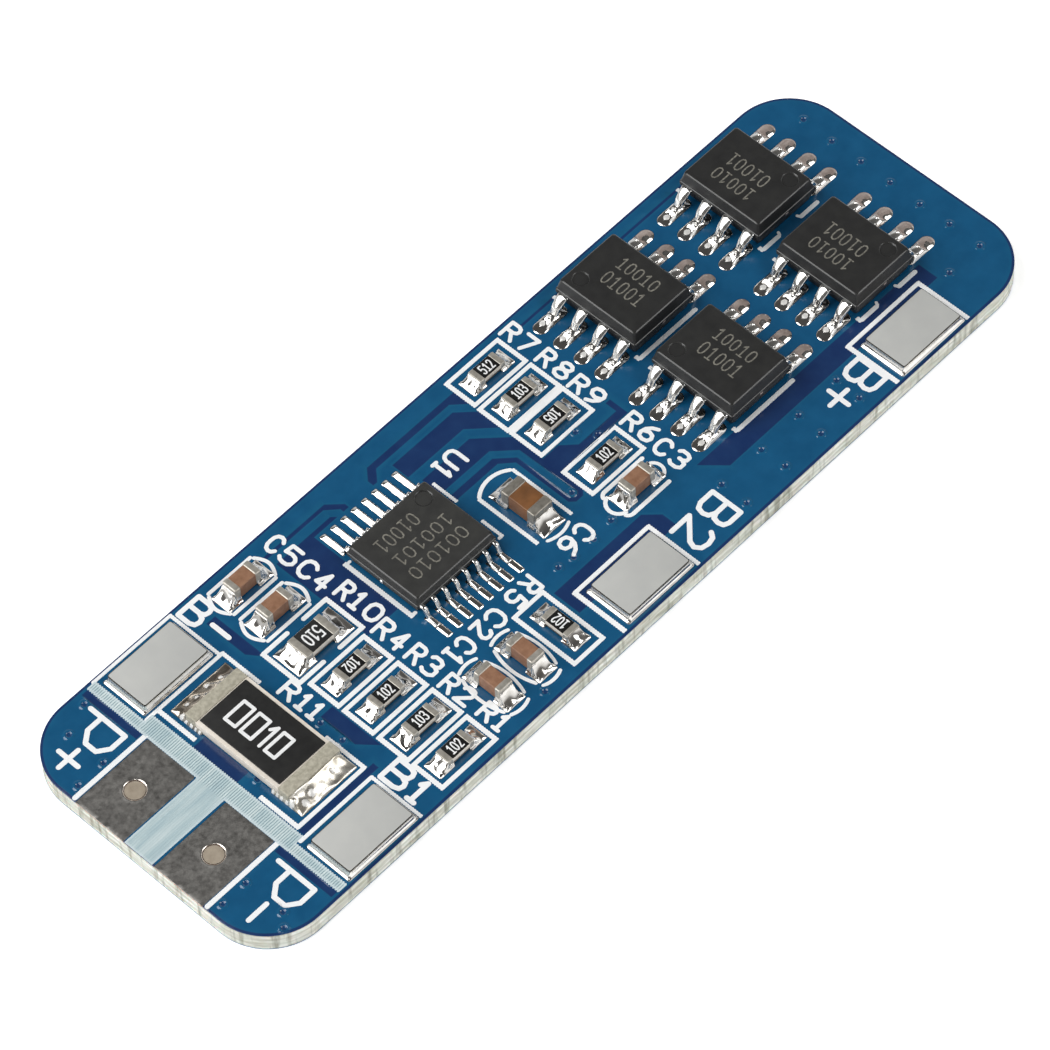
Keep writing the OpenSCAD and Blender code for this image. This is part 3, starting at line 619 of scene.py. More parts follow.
def seg_dist(px, py, a, b):
    ax, ay, bx, by = a[0], a[1], b[0], b[1]
    dx, dy = bx - ax, by - ay
    t = max(0.0, min(1.0, ((px - ax) * dx + (py - ay) * dy) / (dx * dx + dy * dy)))
    return math.hypot(px - ax - t * dx, py - ay - t * dy)


def poly_sd(px, py, p):
    """Distance inside (+) or outside (-) a polygon."""
    ins, d = False, 1e9
    n = len(p)
    for i in range(n):
        a, b = p[i], p[(i + 1) % n]
        d = min(d, seg_dist(px, py, a, b))
        if (a[1] > py) != (b[1] > py) and px < (b[0] - a[0]) * (py - a[1]) / (b[1] - a[1]) + a[0]:
            ins = not ins
    return d if ins else -d


BOXES = [(min(q[0] for q in g) - 0.4, max(q[0] for q in g) + 0.4, min(q[1] for q in g) - 0.4, max(q[1] for q in g) + 0.4)
         for g in GAPS]


def board_edge(x, y):
    """Distance inwards from the board's outline."""
    qx, qy = abs(x) - (HX - 3.0), abs(y) - (HY - 3.0)
    if qx > 0 and qy > 0:
        return 3.0 - math.hypot(qx, qy)
    return min(HX - abs(x), HY - abs(y))


def gap_sd(x, y):
    d = -9.0
    for g, b in zip(GAPS, BOXES):
        if b[0] <= x <= b[1] and b[2] <= y <= b[3]:
            s = poly_sd(x, y, g)
            if g is GAPS[7]:
                s = min(s, -poly_sd(x, y, ISLAND))
            d = max(d, s)
    return max(d, 0.13 - board_edge(x, y))


def smooth(a, b, t):
    t = max(0.0, min(1.0, (t - a) / (b - a)))
    return t * t * (3 - 2 * t)


def via_z(x, y):
    z = 0.0
    for vx, vy in VIAS:
        if abs(x - vx) < 0.36 and abs(y - vy) < 0.36:
            r = math.hypot(x - vx, y - vy)
            if r < 0.34:
                z += 0.040 * smooth(0.32, 0.20, r) if r > 0.18 else 0.040 - 0.051 * smooth(0.175, 0.07, r)
    return z


def mask_z(x, y):
    z = ZM + (Z_LOW - ZM) * smooth(-0.02, 0.07, gap_sd(x, y))
    e = board_edge(x, y)
    z -= 0.012 * (1 - smooth(0.0, 0.05, e))
    return z + via_z(x, y) + 0.0015 * wob(x, y, 1.3, 2.0)


def mask_tone(x, y):
    d = gap_sd(x, y)
    t = 1 - smooth(-0.02, 0.03, d)
    # Lighter band along each copper edge: partly the thinner mask there, partly painted highlight.
    e = math.exp(-((d + 0.035) / 0.035) ** 2) * 0.55
    if board_edge(x, y) < 0.6:
        e *= 0.6
    r = 9.0
    for vx, vy in VIAS:
        if abs(x - vx) < 0.5 and abs(y - vy) < 0.5:
            r = min(r, math.hypot(x - vx, y - vy))
    t *= 1 - 0.75 * smooth(0.17, 0.10, r)
    # Lighter ring round each via: painted glint.
    e += 0.35 * math.exp(-((r - 0.22) / 0.05) ** 2)
    return (t, e, smooth(0.36, 0.30, r), 1.0)


def offset_loop(p, d):
    p = ccw(p)
    n, out = len(p), []
    for i in range(n):
        a, b, c = Vector(p[i - 1]), Vector(p[i]), Vector(p[(i + 1) % n])
        u, w = (b - a).normalized(), (c - b).normalized()
        nu, nw = Vector((u[1], -u[0])), Vector((w[1], -w[0]))
        m = nu + nw
        m = m / max(m.length_squared, 0.3) * 2.0
        out.append(tuple(b + m * d))
    return out


def board_loop(inset=0.0, n=24):
    return rrect(0, 0, HX - inset, HY - inset, 3.0 - inset, n)


# ------------------------------------------------------------------ pads and openings
OPEN = []
for qx, qy in Q:
    for s in (-1, 1):
        for i in range(4):
            y = qy + (i - 1.5) * SO_P
            OPEN.append(capsule(qx + s * (SO_IN + SO_PW / 2), y, qx + s * (SO_OUT - SO_PW / 2), y, SO_PW, 10))
for s in (-1, 1):
    for i in range(8):
        OPEN.append(rrect(U[0] + (i - 3.5) * TS_P, U[1] + s * (TS_IN + TS_OUT) / 2, TS_PW / 2, (TS_OUT - TS_IN) / 2, 0.08, 4))
CHIPS = list(zip(R, R_TURN, R_PAD)) + list(zip(C, C_TURN, C_PAD)) + [(RS, 90, RS_PAD)]
for (cx, cy), turn, (pi, po, pw) in CHIPS:
    for s in (-1, 1):
        l = rrect(s * (pi + po) / 2, 0, (po - pi) / 2, pw / 2, 0.1, 4)
        P = place(cx, cy, turn)
        OPEN.append([P((x, y, 0))[:2] for x, y in l])
for tx, ty in T:
    OPEN.append(rrect(tx, ty, TAB_PAD[0], TAB_PAD[1], 0.1, 4))
WIRE = [(-HX, -HX + 4.35, sy * 2.4 - 1.47, sy * 2.4 + 1.47) for sy in (1, -1)]
for x0, x1, y0, y1 in WIRE:
    OPEN.append([(x0 - 0.2, y0), (x1 - 0.06, y0), (x1, y0 + 0.06), (x1, y1 - 0.06), (x1 - 0.06, y1), (x0 - 0.2, y1)])

# ------------------------------------------------------------------ top solder mask, with its relief over the copper
extra = []
nx, ny = 150, 48
for i in range(nx + 1):
    for j in range(ny + 1):
        x, y = -HX + 2 * HX * i / nx, -HY + 2 * HY * j / ny
        if board_edge(x, y) > 0.12:
            extra.append((x, y))
for vx, vy in VIAS:
    extra.append((vx, vy))
    for r, n in ((0.04, 8), (0.075, 12), (0.10, 14), (0.13, 14), (0.16, 16), (0.19, 16), (0.22, 16), (0.25, 16), (0.29, 16), (0.34, 18)):
        extra += circle(vx, vy, r, n)
lines = []
for g in GAPS + [ISLAND]:
    lines += [offset_loop(g, d) for d in (0.04, 0.02, -0.025, -0.07)] if g is not ISLAND else \
             [offset_loop(g, d) for d in (-0.04, -0.02, 0.025, 0.07)]
lines += [board_loop(d) for d in (0.02, 0.05, 0.08, 0.11, 0.15, 0.19)]
mb = Mesh()
v, f, nt_, col = sheet([board_loop()] + GAPS + [ISLAND], OPEN, mask_z,
                       lambda x, y: Z_LAM + 0.0004 if board_edge(x, y) < 0.01 else mask_z(x, y) - 0.017,
                       extra, lines, clip=board_loop(), colour=mask_tone)
mb.add(v, f, 0, col=col)
mb.build("solder_mask_top_relief", [M_MASK], ["solder_mask_top"], 50, attr=True)

# ------------------------------------------------------------------ printed legend
GLYPHS = {
    "R": [[(0, 0), (0, 1), (0.66, 1), (0.9, 0.92), (1, 0.76), (0.92, 0.6), (0.66, 0.5), (0, 0.5)], [(0.5, 0.5), (1, 0)]],
    "C": [[(1, 0.8), (0.8, 0.95), (0.52, 1), (0.22, 0.93), (0.04, 0.75), (0, 0.5), (0.04, 0.25), (0.22, 0.07), (0.52, 0),
           (0.8, 0.05), (1, 0.2)]],
    "U": [[(0, 1), (0, 0.3), (0.1, 0.1), (0.32, 0), (0.68, 0), (0.9, 0.1), (1, 0.3), (1, 1)]],
    "B": [[(0, 0), (0, 1), (0.66, 1), (0.88, 0.93), (0.94, 0.77), (0.88, 0.6), (0.66, 0.53), (0, 0.53)],
          [(0.66, 0.53), (0.93, 0.43), (1, 0.27), (0.93, 0.08), (0.68, 0), (0, 0)]],
    "P": [[(0, 0), (0, 1), (0.62, 1), (1, 0.82), (1, 0.52), (0.62, 0.33), (0, 0.33)]],
    "1": [[(0.1, 0.78), (0.55, 1), (0.55, 0)], [(0.1, 0), (1, 0)]],
    "2": [[(0.02, 0.8), (0.18, 0.95), (0.48, 1), (0.8, 0.95), (0.97, 0.78), (0.88, 0.58), (0, 0), (1, 0)]],
    "3": [[(0.02, 0.88), (0.2, 1), (0.66, 1), (0.94, 0.88), (0.94, 0.66), (0.68, 0.54), (0.4, 0.54)],
          [(0.68, 0.54), (1, 0.42), (1, 0.14), (0.7, 0), (0.22, 0), (0, 0.12)]],
    "4": [[(0.7, 0), (0.7, 1), (0, 0.32), (1, 0.32)]],
    "5": [[(0.95, 1), (0.12, 1), (0.05, 0.55), (0.5, 0.62), (0.82, 0.57), (1, 0.42), (1, 0.2), (0.76, 0.03), (0.46, 0),
           (0.16, 0.04), (0, 0.15)]],
    "6": [[(0.86, 1), (0.42, 0.85), (0.1, 0.6), (0, 0.3), (0.13, 0.08), (0.5, 0), (0.87, 0.08), (1, 0.3), (0.87, 0.5),
           (0.5, 0.58), (0.1, 0.45)]],
    "7": [[(0, 1), (1, 1), (0.35, 0)]],
    "8": [[(0.5, 0.54), (0.16, 0.64), (0.08, 0.8), (0.22, 0.95), (0.5, 1), (0.78, 0.95), (0.92, 0.8), (0.84, 0.64),
           (0.5, 0.54), (0.12, 0.42), (0, 0.24), (0.16, 0.06), (0.5, 0), (0.84, 0.06), (1, 0.24), (0.88, 0.42), (0.5, 0.54)]],
    "0": [[(0.5, 0), (0.16, 0.08), (0, 0.3), (0, 0.7), (0.16, 0.92), (0.5, 1), (0.84, 0.92), (1, 0.7), (1, 0.3),
           (0.84, 0.08), (0.5, 0)]],
    "-": [[(0, 0.5), (1, 0.5)]],
    "+": [[(0, 0.5), (1, 0.5)], [(0.5, 0), (0.5, 1)]],
    "I": [[(0.5, 0), (0.5, 1)]],
}
GLYPHS["9"] = [[(1 - a, 1 - b) for a, b in line] for line in GLYPHS["6"]]


def glyph(ch, x0, x1, y0, y1, turn, w):
    """Strokes of a character filling a box on the board; turn is the way its up points: 0 up, -90 towards +X, 180 down."""
    x0, x1, y0, y1 = min(x0, x1) + w / 2, max(x0, x1) - w / 2, min(y0, y1) + w / 2, max(y0, y1) - w / 2
    out = []
    for line in GLYPHS[ch]:
        q = []
        for a, b in line:
            if turn == -90:
                q.append((x0 + (x1 - x0) * b, y1 - (y1 - y0) * a))
            elif turn == 180:
                q.append((x1 - (x1 - x0) * a, y1 - (y1 - y0) * b))
            else:
                q.append((x0 + (x1 - x0) * a, y0 + (y1 - y0) * b))
        out += [capsule(*q[i], *q[i + 1], w) for i in range(len(q) - 1)]
    return out


S, L = 0.19, 0.24
LABELS = [
    ("C", -10.28, -9.16, 7.31, 6.58, -90, S), ("5", -10.28, -9.16, 6.44, 5.52, -90, S),
    ("C", -10.28, -9.16, 5.36, 4.49, -90, S), ("4", -10.28, -9.16, 4.32, 3.6, -90, S),
    ("R", -9.95, -8.87, 3.26, 2.53, -90, S), ("1", -9.95, -8.87, 2.4, 1.82, -90, S), ("0", -9.95, -8.87, 1.6, 0.74, -90, S),
    ("R", -10.28, -9.16, 0.63, -0.19, -90, S), ("4", -10.28, -9.16, -0.35, -1.08, -90, S),
    ("R", -10.28, -9.16, -1.36, -2.12, -90, S), ("3", -10.28, -9.16, -2.28, -3.12, -90, S),
    ("R", -10.38, -9.32, -3.5, -4.26, -90, S), ("2", -10.38, -9.32, -4.43, -5.24, -90, S),
    ("R", -10.32, -9.3, -5.72, -6.5, -90, S), ("1", -10.32, -9.3, -6.65, -7.2, -90, S),
    ("R", -15.28, -14.26, 1.44, 0.6, -90, S), ("1", -15.28, -14.26, 0.44, -0.12, -90, S), ("1", -15.28, -14.26, -0.27, -0.83, -90, S),
    ("B", -15.36, -13.82, 7.58, 6.34, -90, L), ("I", -14.72, -14.48, 6.08, 4.82, 0, L),
    ("B", -15.42, -13.98, -4.82, -6.16, -90, L), ("1", -15.42, -14.05, -6.36, -7.06, -90, L),
    ("R", 5.2, 6.26, 7.58, 6.77, -90, S), ("7", 5.2, 6.26, 6.6, 5.74, -90, S),
    ("R", 5.2, 6.26, 5.38, 4.6, -90, S), ("8", 5.2, 6.26, 4.38, 3.5, -90, S),
    ("R", 5.12, 6.16, 3.3, 2.48, -90, S), ("9", 5.12, 6.16, 2.3, 1.44, -90, S),
    ("R", 5.2, 6.26, 0.14, -0.68, -90, S), ("6", 5.2, 6.26, -0.84, -1.66, -90, S),
    ("C", 5.06, 6.14, -1.86, -2.65, -90, S), ("3", 5.06, 6.14, -2.85, -3.68, -90, S),
    ("U", -1.52, -0.67, 3.64, 4.78, 180, S), ("1", -2.12, -1.66, 3.62, 4.78, 180, S),
    ("C", -0.52, 0.27, -3.36, -2.2, 180, S), ("6", -1.5, -0.68, -3.36, -2.2, 180, S),
    ("C", -8.32, -7.58, -3.58, -2.45, 180, S), ("1", -8.98, -8.46, -3.58, -2.45, 180, S),
    ("C", -6.47, -5.6, -3.58, -2.45, 180, S), ("2", -7.3, -6.58, -3.58, -2.45, 180, S),
    ("R", -4.12, -3.38, -3.5, -2.4, 180, S), ("5", -5.1, -4.36, -3.5, -2.4, 180, S),
    ("B", 4.0, 5.4, -7.32, -5.4, 180, L), ("2", 2.36, 3.76, -7.4, -5.5, 180, L),
    ("B", 13.82, 15.24, -7.25, -5.36, 180, L), ("+", 12.14, 13.56, -6.98, -5.57, 0, L),
    ("P", -22.74, -21.1, 4.54, 6.92, 180, L), ("+", -24.38, -22.96, 4.94, 6.38, 0, L),
    ("P", -22.74, -21.1, -6.95, -4.55, 180, L), ("-", -24.28, -22.96, -5.92, -5.68, 0, L),
]
ink = []
for lab in LABELS:
    ink += glyph(*lab)


def hbar(x0, x1, y, w=0.2):
    w += 0.015
    ink.append(capsule(x0 + w / 2, y, x1 - w / 2, y, w))


def vbar(x, y0, y1, w=0.2, pitch=0.13, amp=0.028):
    """A line along Y; the ink's passes run along X, so its two long edges are beaded."""
    w += 0.015
    n = max(2, int(round((y1 - y0) / pitch))) * 5
    right = [(x + w / 2 - 0.008 + amp * abs(math.sin(math.pi * k / 5)), y0 + (y1 - y0) * k / n) for k in range(n + 1)]
    left = [(2 * x - a, b) for a, b in reversed(right)]
    ink.append(right + left)


def box_line(x0, x1, y0, y1, w=0.19):
    for y in (y0, y1):
        hbar(x0 - w / 2, x1 + w / 2, y, w)
    for x in (x0, x1):
        vbar(x, y0 - w / 2, y1 + w / 2, w)


def arc(cx, cy, r, a0, a1, w, n=10):
    p = [(cx + r * math.cos(math.radians(a0 + (a1 - a0) * k / n)), cy + r * math.sin(math.radians(a0 + (a1 - a0) * k / n)))
         for k in range(n + 1)]
    for i in range(n):
        ink.append(capsule(*p[i], *p[i + 1], w, 4))


for s in (1, -1):
    hbar(-HX + 0.02, -20.5, s * 4.03, 0.22)
hbar(-20.3, -15.42, 7.68, 0.15)
vbar(-15.5, 4.6, 7.74, 0.14)
hbar(-20.1, -15.28, 4.58, 0.17)
hbar(-20.0, -15.48, -4.69, 0.17)
vbar(-15.56, -7.68, -4.64, 0.14)
hbar(-2.87, 2.09, -4.68, 0.19)
vbar(-2.77, -7.7, -4.6, 0.21)
vbar(2.0, -7.7, -4.6, 0.17)
hbar(15.15, 20.17, -4.7, 0.19)
vbar(15.26, -7.7, -4.62, 0.21)
vbar(20.07, -7.7, -4.62, 0.19)
vbar(-19.32, 2.26, 4.5, 0.19)
vbar(-15.36, 2.26, 4.64, 0.16)
vbar(-19.48, -4.2, -1.82, 0.19)
vbar(-15.43, -4.2, -1.78, 0.17)
hbar(-19.58, -15.34, -4.12, 0.19)
for y in (-6.46, -4.40, -2.32, -0.25):
    box_line(-13.92, -10.6, y - 0.86, y + 0.86, 0.2)
box_line(-5.49, -3.68, -7.2, -3.6, 0.19)
box_line(1.65, 4.97, 5.57, 7.33)
box_line(1.63, 4.97, 3.5, 5.26)
box_line(1.65, 4.97, 1.46, 3.28)
ink.append([(1.6, 3.28), (5.05, 3.28), (5.05, 3.5), (1.6, 3.5)])
box_line(1.64, 4.96, -1.66, 0.11)
for s in (1, -1):
    vbar(-12.26 + s * 1.96, 0.88, 3.3, 0.19)
for y in (3.21, 0.98):
    hbar(-14.3, -12.62, y, 0.21)
    hbar(-11.82, -10.2, y, 0.21)


def lozenge(cx, cy, hx, hy, b, turn, w=0.18):
    P = place(cx, cy, turn)

    def seg(a, c):
        p, q = P((*a, 0)), P((*c, 0))
        ink.append(capsule(p[0], p[1], q[0], q[1], w, 4))
    for s in (1, -1):
        seg((-b, s * hy), (b, s * hy))
        pts = [(s * (b + (hx - b) * math.sin(math.pi * k / 12)), -hy + 2 * hy * k / 12) for k in range(13)]
        for k in range(1, 11):
            seg(pts[k], pts[k + 1])


lozenge(-12.28, 4.40, 1.68, 0.85, 1.3, 0)
lozenge(-12.28, 6.44, 1.66, 0.80, 1.3, 0)
for s in (1, -1):
    hbar(1.95 if s < 0 else 1.9, 4.62 if s > 0 else 4.5, -2.85 + s * 0.87, 0.19)
arc(2.05, -2.85, 0.6, 105, 255, 0.19)
arc(4.3, -2.85, 0.5, -60, 60, 0.17)
arc(2.05, -2.28, 0.3, 90, 160, 0.19, 5)
arc(2.05, -3.42, 0.3, 200, 270, 0.19, 5)
for x in (-8.70, -6.68):
    arc(x + 2.4, -5.4, 3.3, 158, 202, 0.17)
    arc(x - 2.4, -5.4, 3.3, -21, 21, 0.15)
    arc(x, -5.0, 1.28, 65, 115, 0.17, 6)
    arc(x, -5.8, 1.28, 245, 295, 0.17, 6)
vbar(-1.95, -1.7, 1.92, 0.16)
vbar(0.22, -1.72, 1.92, 0.14)
arc(-0.87, 0.76, 1.56, 50, 130, 0.19)
arc(-0.87, -0.5, 1.56, 244, 296, 0.16)
vbar(U[0] - 2.69, -0.3, 3.94, 0.19)
hbar(U[0] - 2.78, U[0] - 2.38, -0.2, 0.16)
hbar(U[0] - 2.78, U[0] - 2.38, 3.82, 0.13)
vbar(U[0] + 3.03, 2.52, 4.02, 0.13)
vbar(U[0] + 3.03, -0.28, 1.02, 0.13)
hbar(U[0] + 2.78, U[0] + 3.09, -0.22, 0.14)
for (qx, qy), turn in zip(Q, Q_TURN):
    if turn:
        hbar(qx - 1.87, qx - 0.65, qy - 2.61, 0.2)
        hbar(qx + 0.68, qx + 2.0, qy - 2.61, 0.2)
        ink.append(capsule(qx - 0.66, qy - 2.58, qx - 0.6, qy - 2.45, 0.15, 4))
        ink.append(capsule(qx + 0.75, qy - 2.58, qx + 0.69, qy - 2.45, 0.15, 4))
    else:
        hbar(qx - 1.87, qx + 2.02, qy - 2.61, 0.2)
    vbar(qx - 1.84, qy - 2.66, qy - 2.36, 0.17)
    vbar(qx - 1.84, qy + 2.36, qy + 2.7, 0.15)
mb = Mesh()
extra = []
for vx, vy in VIAS:
    extra.append((vx, vy))
    for r, n in ((0.05, 8), (0.10, 12), (0.14, 14), (0.18, 16), (0.22, 16), (0.26, 16), (0.30, 16), (0.34, 18)):
        extra += circle(vx, vy, r, n)
v, f, nt_, _ = sheet(ink, OPEN, lambda x, y: ZM + 0.014 + max(0.0, via_z(x, y)), Z_LOW - 0.003, extra,
                     clip=board_loop(0.03))
mb.add(v, f, 0)
mb.build("legend_lines_and_marks", [M_INK], ["silkscreen_top"], 40)

# The wide bands of thin ink, with the beaded edge that raster printing leaves.


def beaded(x0, x1, y0, y1, pitch=0.13, amp=0.06, beads="LRTB"):
    out = []

    def run(ax, ay, bx, by, on):
        ln = math.hypot(bx - ax, by - ay)
        n = max(2, int(round(ln / pitch))) * 6 if on else 2
        nx_, ny_ = (by - ay) / ln, -(bx - ax) / ln
        for k in range(n):
            t = k / n
            a = amp * abs(math.sin(math.pi * k / 6)) if on else 0
            out.append((ax + (bx - ax) * t + nx_ * a, ay + (by - ay) * t + ny_ * a))
    run(x0, y0, x1, y0, "B" in beads)
    run(x1, y0, x1, y1, "R" in beads)
    run(x1, y1, x0, y1, "T" in beads)
    run(x0, y1, x0, y0, "L" in beads)
    return out


bands = [beaded(-HX + 0.02, -20.2, -0.82, 0.86, beads=""), beaded(-20.59, -19.69, -4.62, 4.58, beads="LR"),
         beaded(-20.59, -20.14, -7.66, 7.66, beads="LR")]
rects = [(-HX, -19.69, -0.82, 0.86), (-20.59, -19.69, -4.62, 4.58), (-20.59, -20.14, -7.66, 7.66)]


def band_in(x, y):
    return max(min(x - a, b - x, y - c, d - y) for a, b, c, d in rects)


def band_z(x, y):
    z = ZM + 0.014 + 0.003 * wob(x, y, 3.0, 5.0)
    for vx, vy in BLOCK_VIAS:
        r = math.hypot(x - vx, y - vy)
        if r < 0.36:
            z += 0.012 * math.exp(-((r - 0.22) / 0.06) ** 2) - 0.006 * math.exp(-(r / 0.12) ** 2)
    if x < -20.6:
        z += 0.010 * math.exp(-((y - 0.36) / 0.05) ** 2) + 0.006 * math.exp(-((y + 0.1) / 0.04) ** 2)
    else:
        z += 0.0
    return z


extra = []
for a, b, c, d in rects:
    for i in range(int((b - a) / 0.09)):
        for j in range(int((d - c) / 0.09)):
            extra.append((a + 0.05 + i * 0.09, c + 0.05 + j * 0.09))
mb = Mesh()
v, f, nt_, col = sheet(bands, OPEN, band_z, Z_LOW - 0.003, extra, clip=board_loop(0.0),
                       colour=lambda x, y: (1.0, 0.8 * (1 - smooth(0.02, 0.10, band_in(x, y))), 0.12 + 0.88 * smooth(-20.75, -20.55, x), 1.0))
mb.add(v, f, 0, col=col)
mb.build("legend_bands", [M_INKB], (), 60, attr=True)

# ------------------------------------------------------------------ wire pads
HOLE = [(-HX + 2.15, 2.4), (-HX + 2.15, -2.4)]


def tin_z(x, y):
    for k, (hx, hy) in enumerate(HOLE):
        r = math.hypot(x - hx, y - hy)
        if r < 0.75:
            if r < 0.46:
                return ZM - 0.060 + 0.022 * (1 - (r / 0.46) ** 2)
            if r < 0.56:
                return ZM - 0.060 + 0.074 * smooth(0.45, 0.56, r)
            return ZM + 0.0135 * (1 - smooth(0.56, 0.70, r)) + 0.0005
    e = 1e9
    for x0, x1, y0, y1 in WIRE:
        if y0 <= y <= y1:
            e = min(x1 - x, y - y0, y1 - y)
    return ZM - 0.012 * (1 - smooth(0.0, 0.12, e)) + 0.002 * wob(x, y, 2.2, 8.0)


mb = Mesh()
for (x0, x1, y0, y1), (hx, hy) in zip(WIRE, HOLE):
    ex = [(x0 + 0.02 + (x1 - x0 - 0.04) * i / 26, y0 + 0.02 + (y1 - y0 - 0.04) * j / 18) for i in range(27) for j in range(19)
          if math.hypot(x0 + (x1 - x0) * i / 26 - hx, y0 + (y1 - y0) * j / 18 - hy) > 0.76]
    ex += [(x0 + 0.02 + (x1 - x0 - 0.04) * i / 40, y) for i in range(41) for y in (y0 + 0.06, y0 + 0.12, y1 - 0.06, y1 - 0.12)]
    for r in (0.12, 0.24, 0.34, 0.42, 0.46, 0.475, 0.49, 0.505, 0.52, 0.54, 0.56, 0.585, 0.61, 0.64, 0.68, 0.74):
        ex += circle(hx, hy, r, 40)
    lp = [(x0, y0), (x1 - 0.06, y0), (x1, y0 + 0.06), (x1, y1 - 0.06), (x1 - 0.06, y1), (x0, y1)]
    v, f, nt_, _ = sheet([lp], (), tin_z, Z_CU - 0.003, ex)
    mi = []
    for q in f:
        c = [sum(v[i][k] for i in q) / len(q) for k in range(3)]
        q_ = math.hypot(c[0] - hx, c[1] - hy)
        mi.append(0 if q_ > 0.565 or c[2] < 1.0 else (1 if q_ < 0.465 else 2))
    mb.add(v, f, mi)
    # Ring and plug end on the underside.
    rings = [[(x, y, z) for x, y in circle(hx, hy, r, 40)] for r, z in
             ((0.30, 0.012), (0.44, 0.006), (0.52, 0.0006), (0.90, 0.0006), (0.95, 0.006), (0.95, 0.019), (0.3, 0.019))]
    vv, ff = loft(rings)
    mb.add(vv, [tuple(q) for q in ff], 0)
mb.build("wire_pad_tin_coats", [M_TIN, M_PLUG, M_RIM], ["wire_pad_tinning"], 30)

# ------------------------------------------------------------------ moulded packages


def package(name, node, hx, hy, z0, z1, zm, band, draft, dimple, rows, turn, ties, epoxy):
    """Drafted moulded body with a parting band, bevelled top edge, pin-1 dimple and etched rows of noughts and ones."""
    cx, cy = centre(node)
    P = place(cx, cy, turn)
    rc = 0.07
    mid = band / 2
    prof = [(draft + 0.05, z0), (draft + 0.015, z0 + 0.02), (draft, z0 + 0.05), (0.03, zm - mid - 0.02),
            (0.004, zm - mid - 0.006), (0.0, zm - mid), (0.0, zm + mid), (0.004, zm + mid + 0.006),
            (0.036, zm + mid + 0.026), (draft - 0.014, z1 - 0.042), (draft + 0.000, z1 - 0.030), (draft + 0.040, z1 - 0.005),
            (draft + 0.052, z1)]
    rings = [[(x, y, z) for x, y in rrect(0, 0, hx - i, hy - i, rc + i * 0.5, 4)] for i, z in prof]
    v, f = loft(rings, True, False)
    m = len(rings[0])
    mi = [1 if k // m in (7, 10, 11) and k < (len(rings) - 1) * m else 0 for k in range(len(f))]
    mb = Mesh()
    mb.add(v, f, mi, P)
    # Top face with the dimple.
    top = [(x, y) for x, y, z in rings[-1]]
    dx, dy, dr, dd = dimple
    ex = [(dx, dy)]
    for k in (0.3, 0.6, 0.8, 0.88, 0.93, 0.97, 1.0, 1.05):
        ex += circle(dx, dy, dr * k, 36)
    for i in range(1, 14):
        for j in range(1, 16):
            x, y = -hx + 2 * hx * i / 14, -hy + 2 * hy * j / 16
            if math.hypot(x - dx, y - dy) > dr * 1.1:
                ex.append((x, y))

    def tz(x, y):
        r = math.hypot(x - dx, y - dy) / dr
        return z1 - dd * (1 - smooth(0.87, 1.0, r)) if r < 1 else z1
    lv, lf, of = cdt([top], [e for e in ex if abs(e[0]) < hx - draft - 0.13 and abs(e[1]) < hy - draft - 0.13])
    tris = [t for t, ids in zip(lf, of) if ids]
    mb.add([(p[0], p[1], tz(p[0], p[1])) for p in lv], tris,
           [1 if 0.85 < sum(math.hypot(lv[i][0] - dx, lv[i][1] - dy) for i in t) / 3 / dr < 0.99 else 0 for t in tris], P)
    # Etched marks: plain noughts and ones where a package is usually marked.
    for text, x0, x1, y0, y1, up in rows:
        n = len(text)
        loops = []
        for k, ch in enumerate(text):
            if up == -90:      # reading towards -Y
                b = y1 - (y1 - y0) * k / n
                a = b - (y1 - y0) / n * 0.76
                loops += glyph(ch, x0, x1, a, b, -90, 0.070)
            else:              # reading towards -X, upside down
                b = x1 - (x1 - x0) * k / n
                a = b - (x1 - x0) / n * 0.76
                loops += glyph(ch, a, b, y0, y1, 180, 0.070)
        vv, ff, _, _ = sheet(loops, (), z1 + 0.0022, z1 - 0.006)
        mb.add(vv, ff, 2, P)
    # Cut ends of the lead frame's tie bars on the two short ends.
    for s in (1, -1):
        x0, x1, y0, y1 = ties
        if x1 > 0:
            xa, xb = sorted((s * x0, s * x1))
            vv, ff = rbox(xa, xb, y0, y1, zm - 0.08, zm + 0.085, 0.045, 4)
            mb.add(vv, ff, 3, P)
        else:
            ya, yb = sorted((s * y0, s * y1))
            vv, ff = rbox(-0.10, 0.10, ya, yb, zm - 0.06, zm + 0.05, 0.004, 1)
            mb.add(vv, ff, 4, P)
    mb.build(name, [epoxy, M_DIMPLE, M_ETCH, M_LEAD, M_FLUX], [node], 28)


for i in range(4):
    lo, hi = cbox("mosfet_q%d_body" % (i + 1))
    llo, lhi = cbox("mosfet_q%d_leads" % (i + 1))
    zm = lhi[2] - 0.1
    package("mosfet_q%d_moulding" % (i + 1), "mosfet_q%d_body" % (i + 1), (hi[0] - lo[0]) / 2, (hi[1] - lo[1]) / 2,
            lo[2], hi[2], zm, 0.22, 0.16, (-1.12, 1.62, 0.42, 0.05),
            [("01001", -0.65, 0.15, -1.43, 0.97, -90), ("10010", 0.42, 1.16, -1.43, 0.97, -90)], Q_TURN[i],
            (0, 0, 2.44, 2.455), M_EPOXY)
lo, hi = cbox("protection_ic_body")
llo, lhi = cbox("protection_ic_leads")
package("protection_ic_moulding", "protection_ic_body", (hi[0] - lo[0]) / 2, (hi[1] - lo[1]) / 2, lo[2], hi[2],
        lhi[2] - 0.065, 0.15, 0.12, (1.68, 1.44, 0.45, 0.045),
        [("01001", -1.74, 0.74, 0.62, 1.40, 180), ("100101", -1.74, 1.72, -0.44, 0.26, 180),
         ("001010", -1.78, 1.72, -1.42, -0.70, 180)], 0, (2.47, 2.565, -0.10, 0.07), M_EPOXY_IC)

# ------------------------------------------------------------------ leads


IC_LW = 0.26


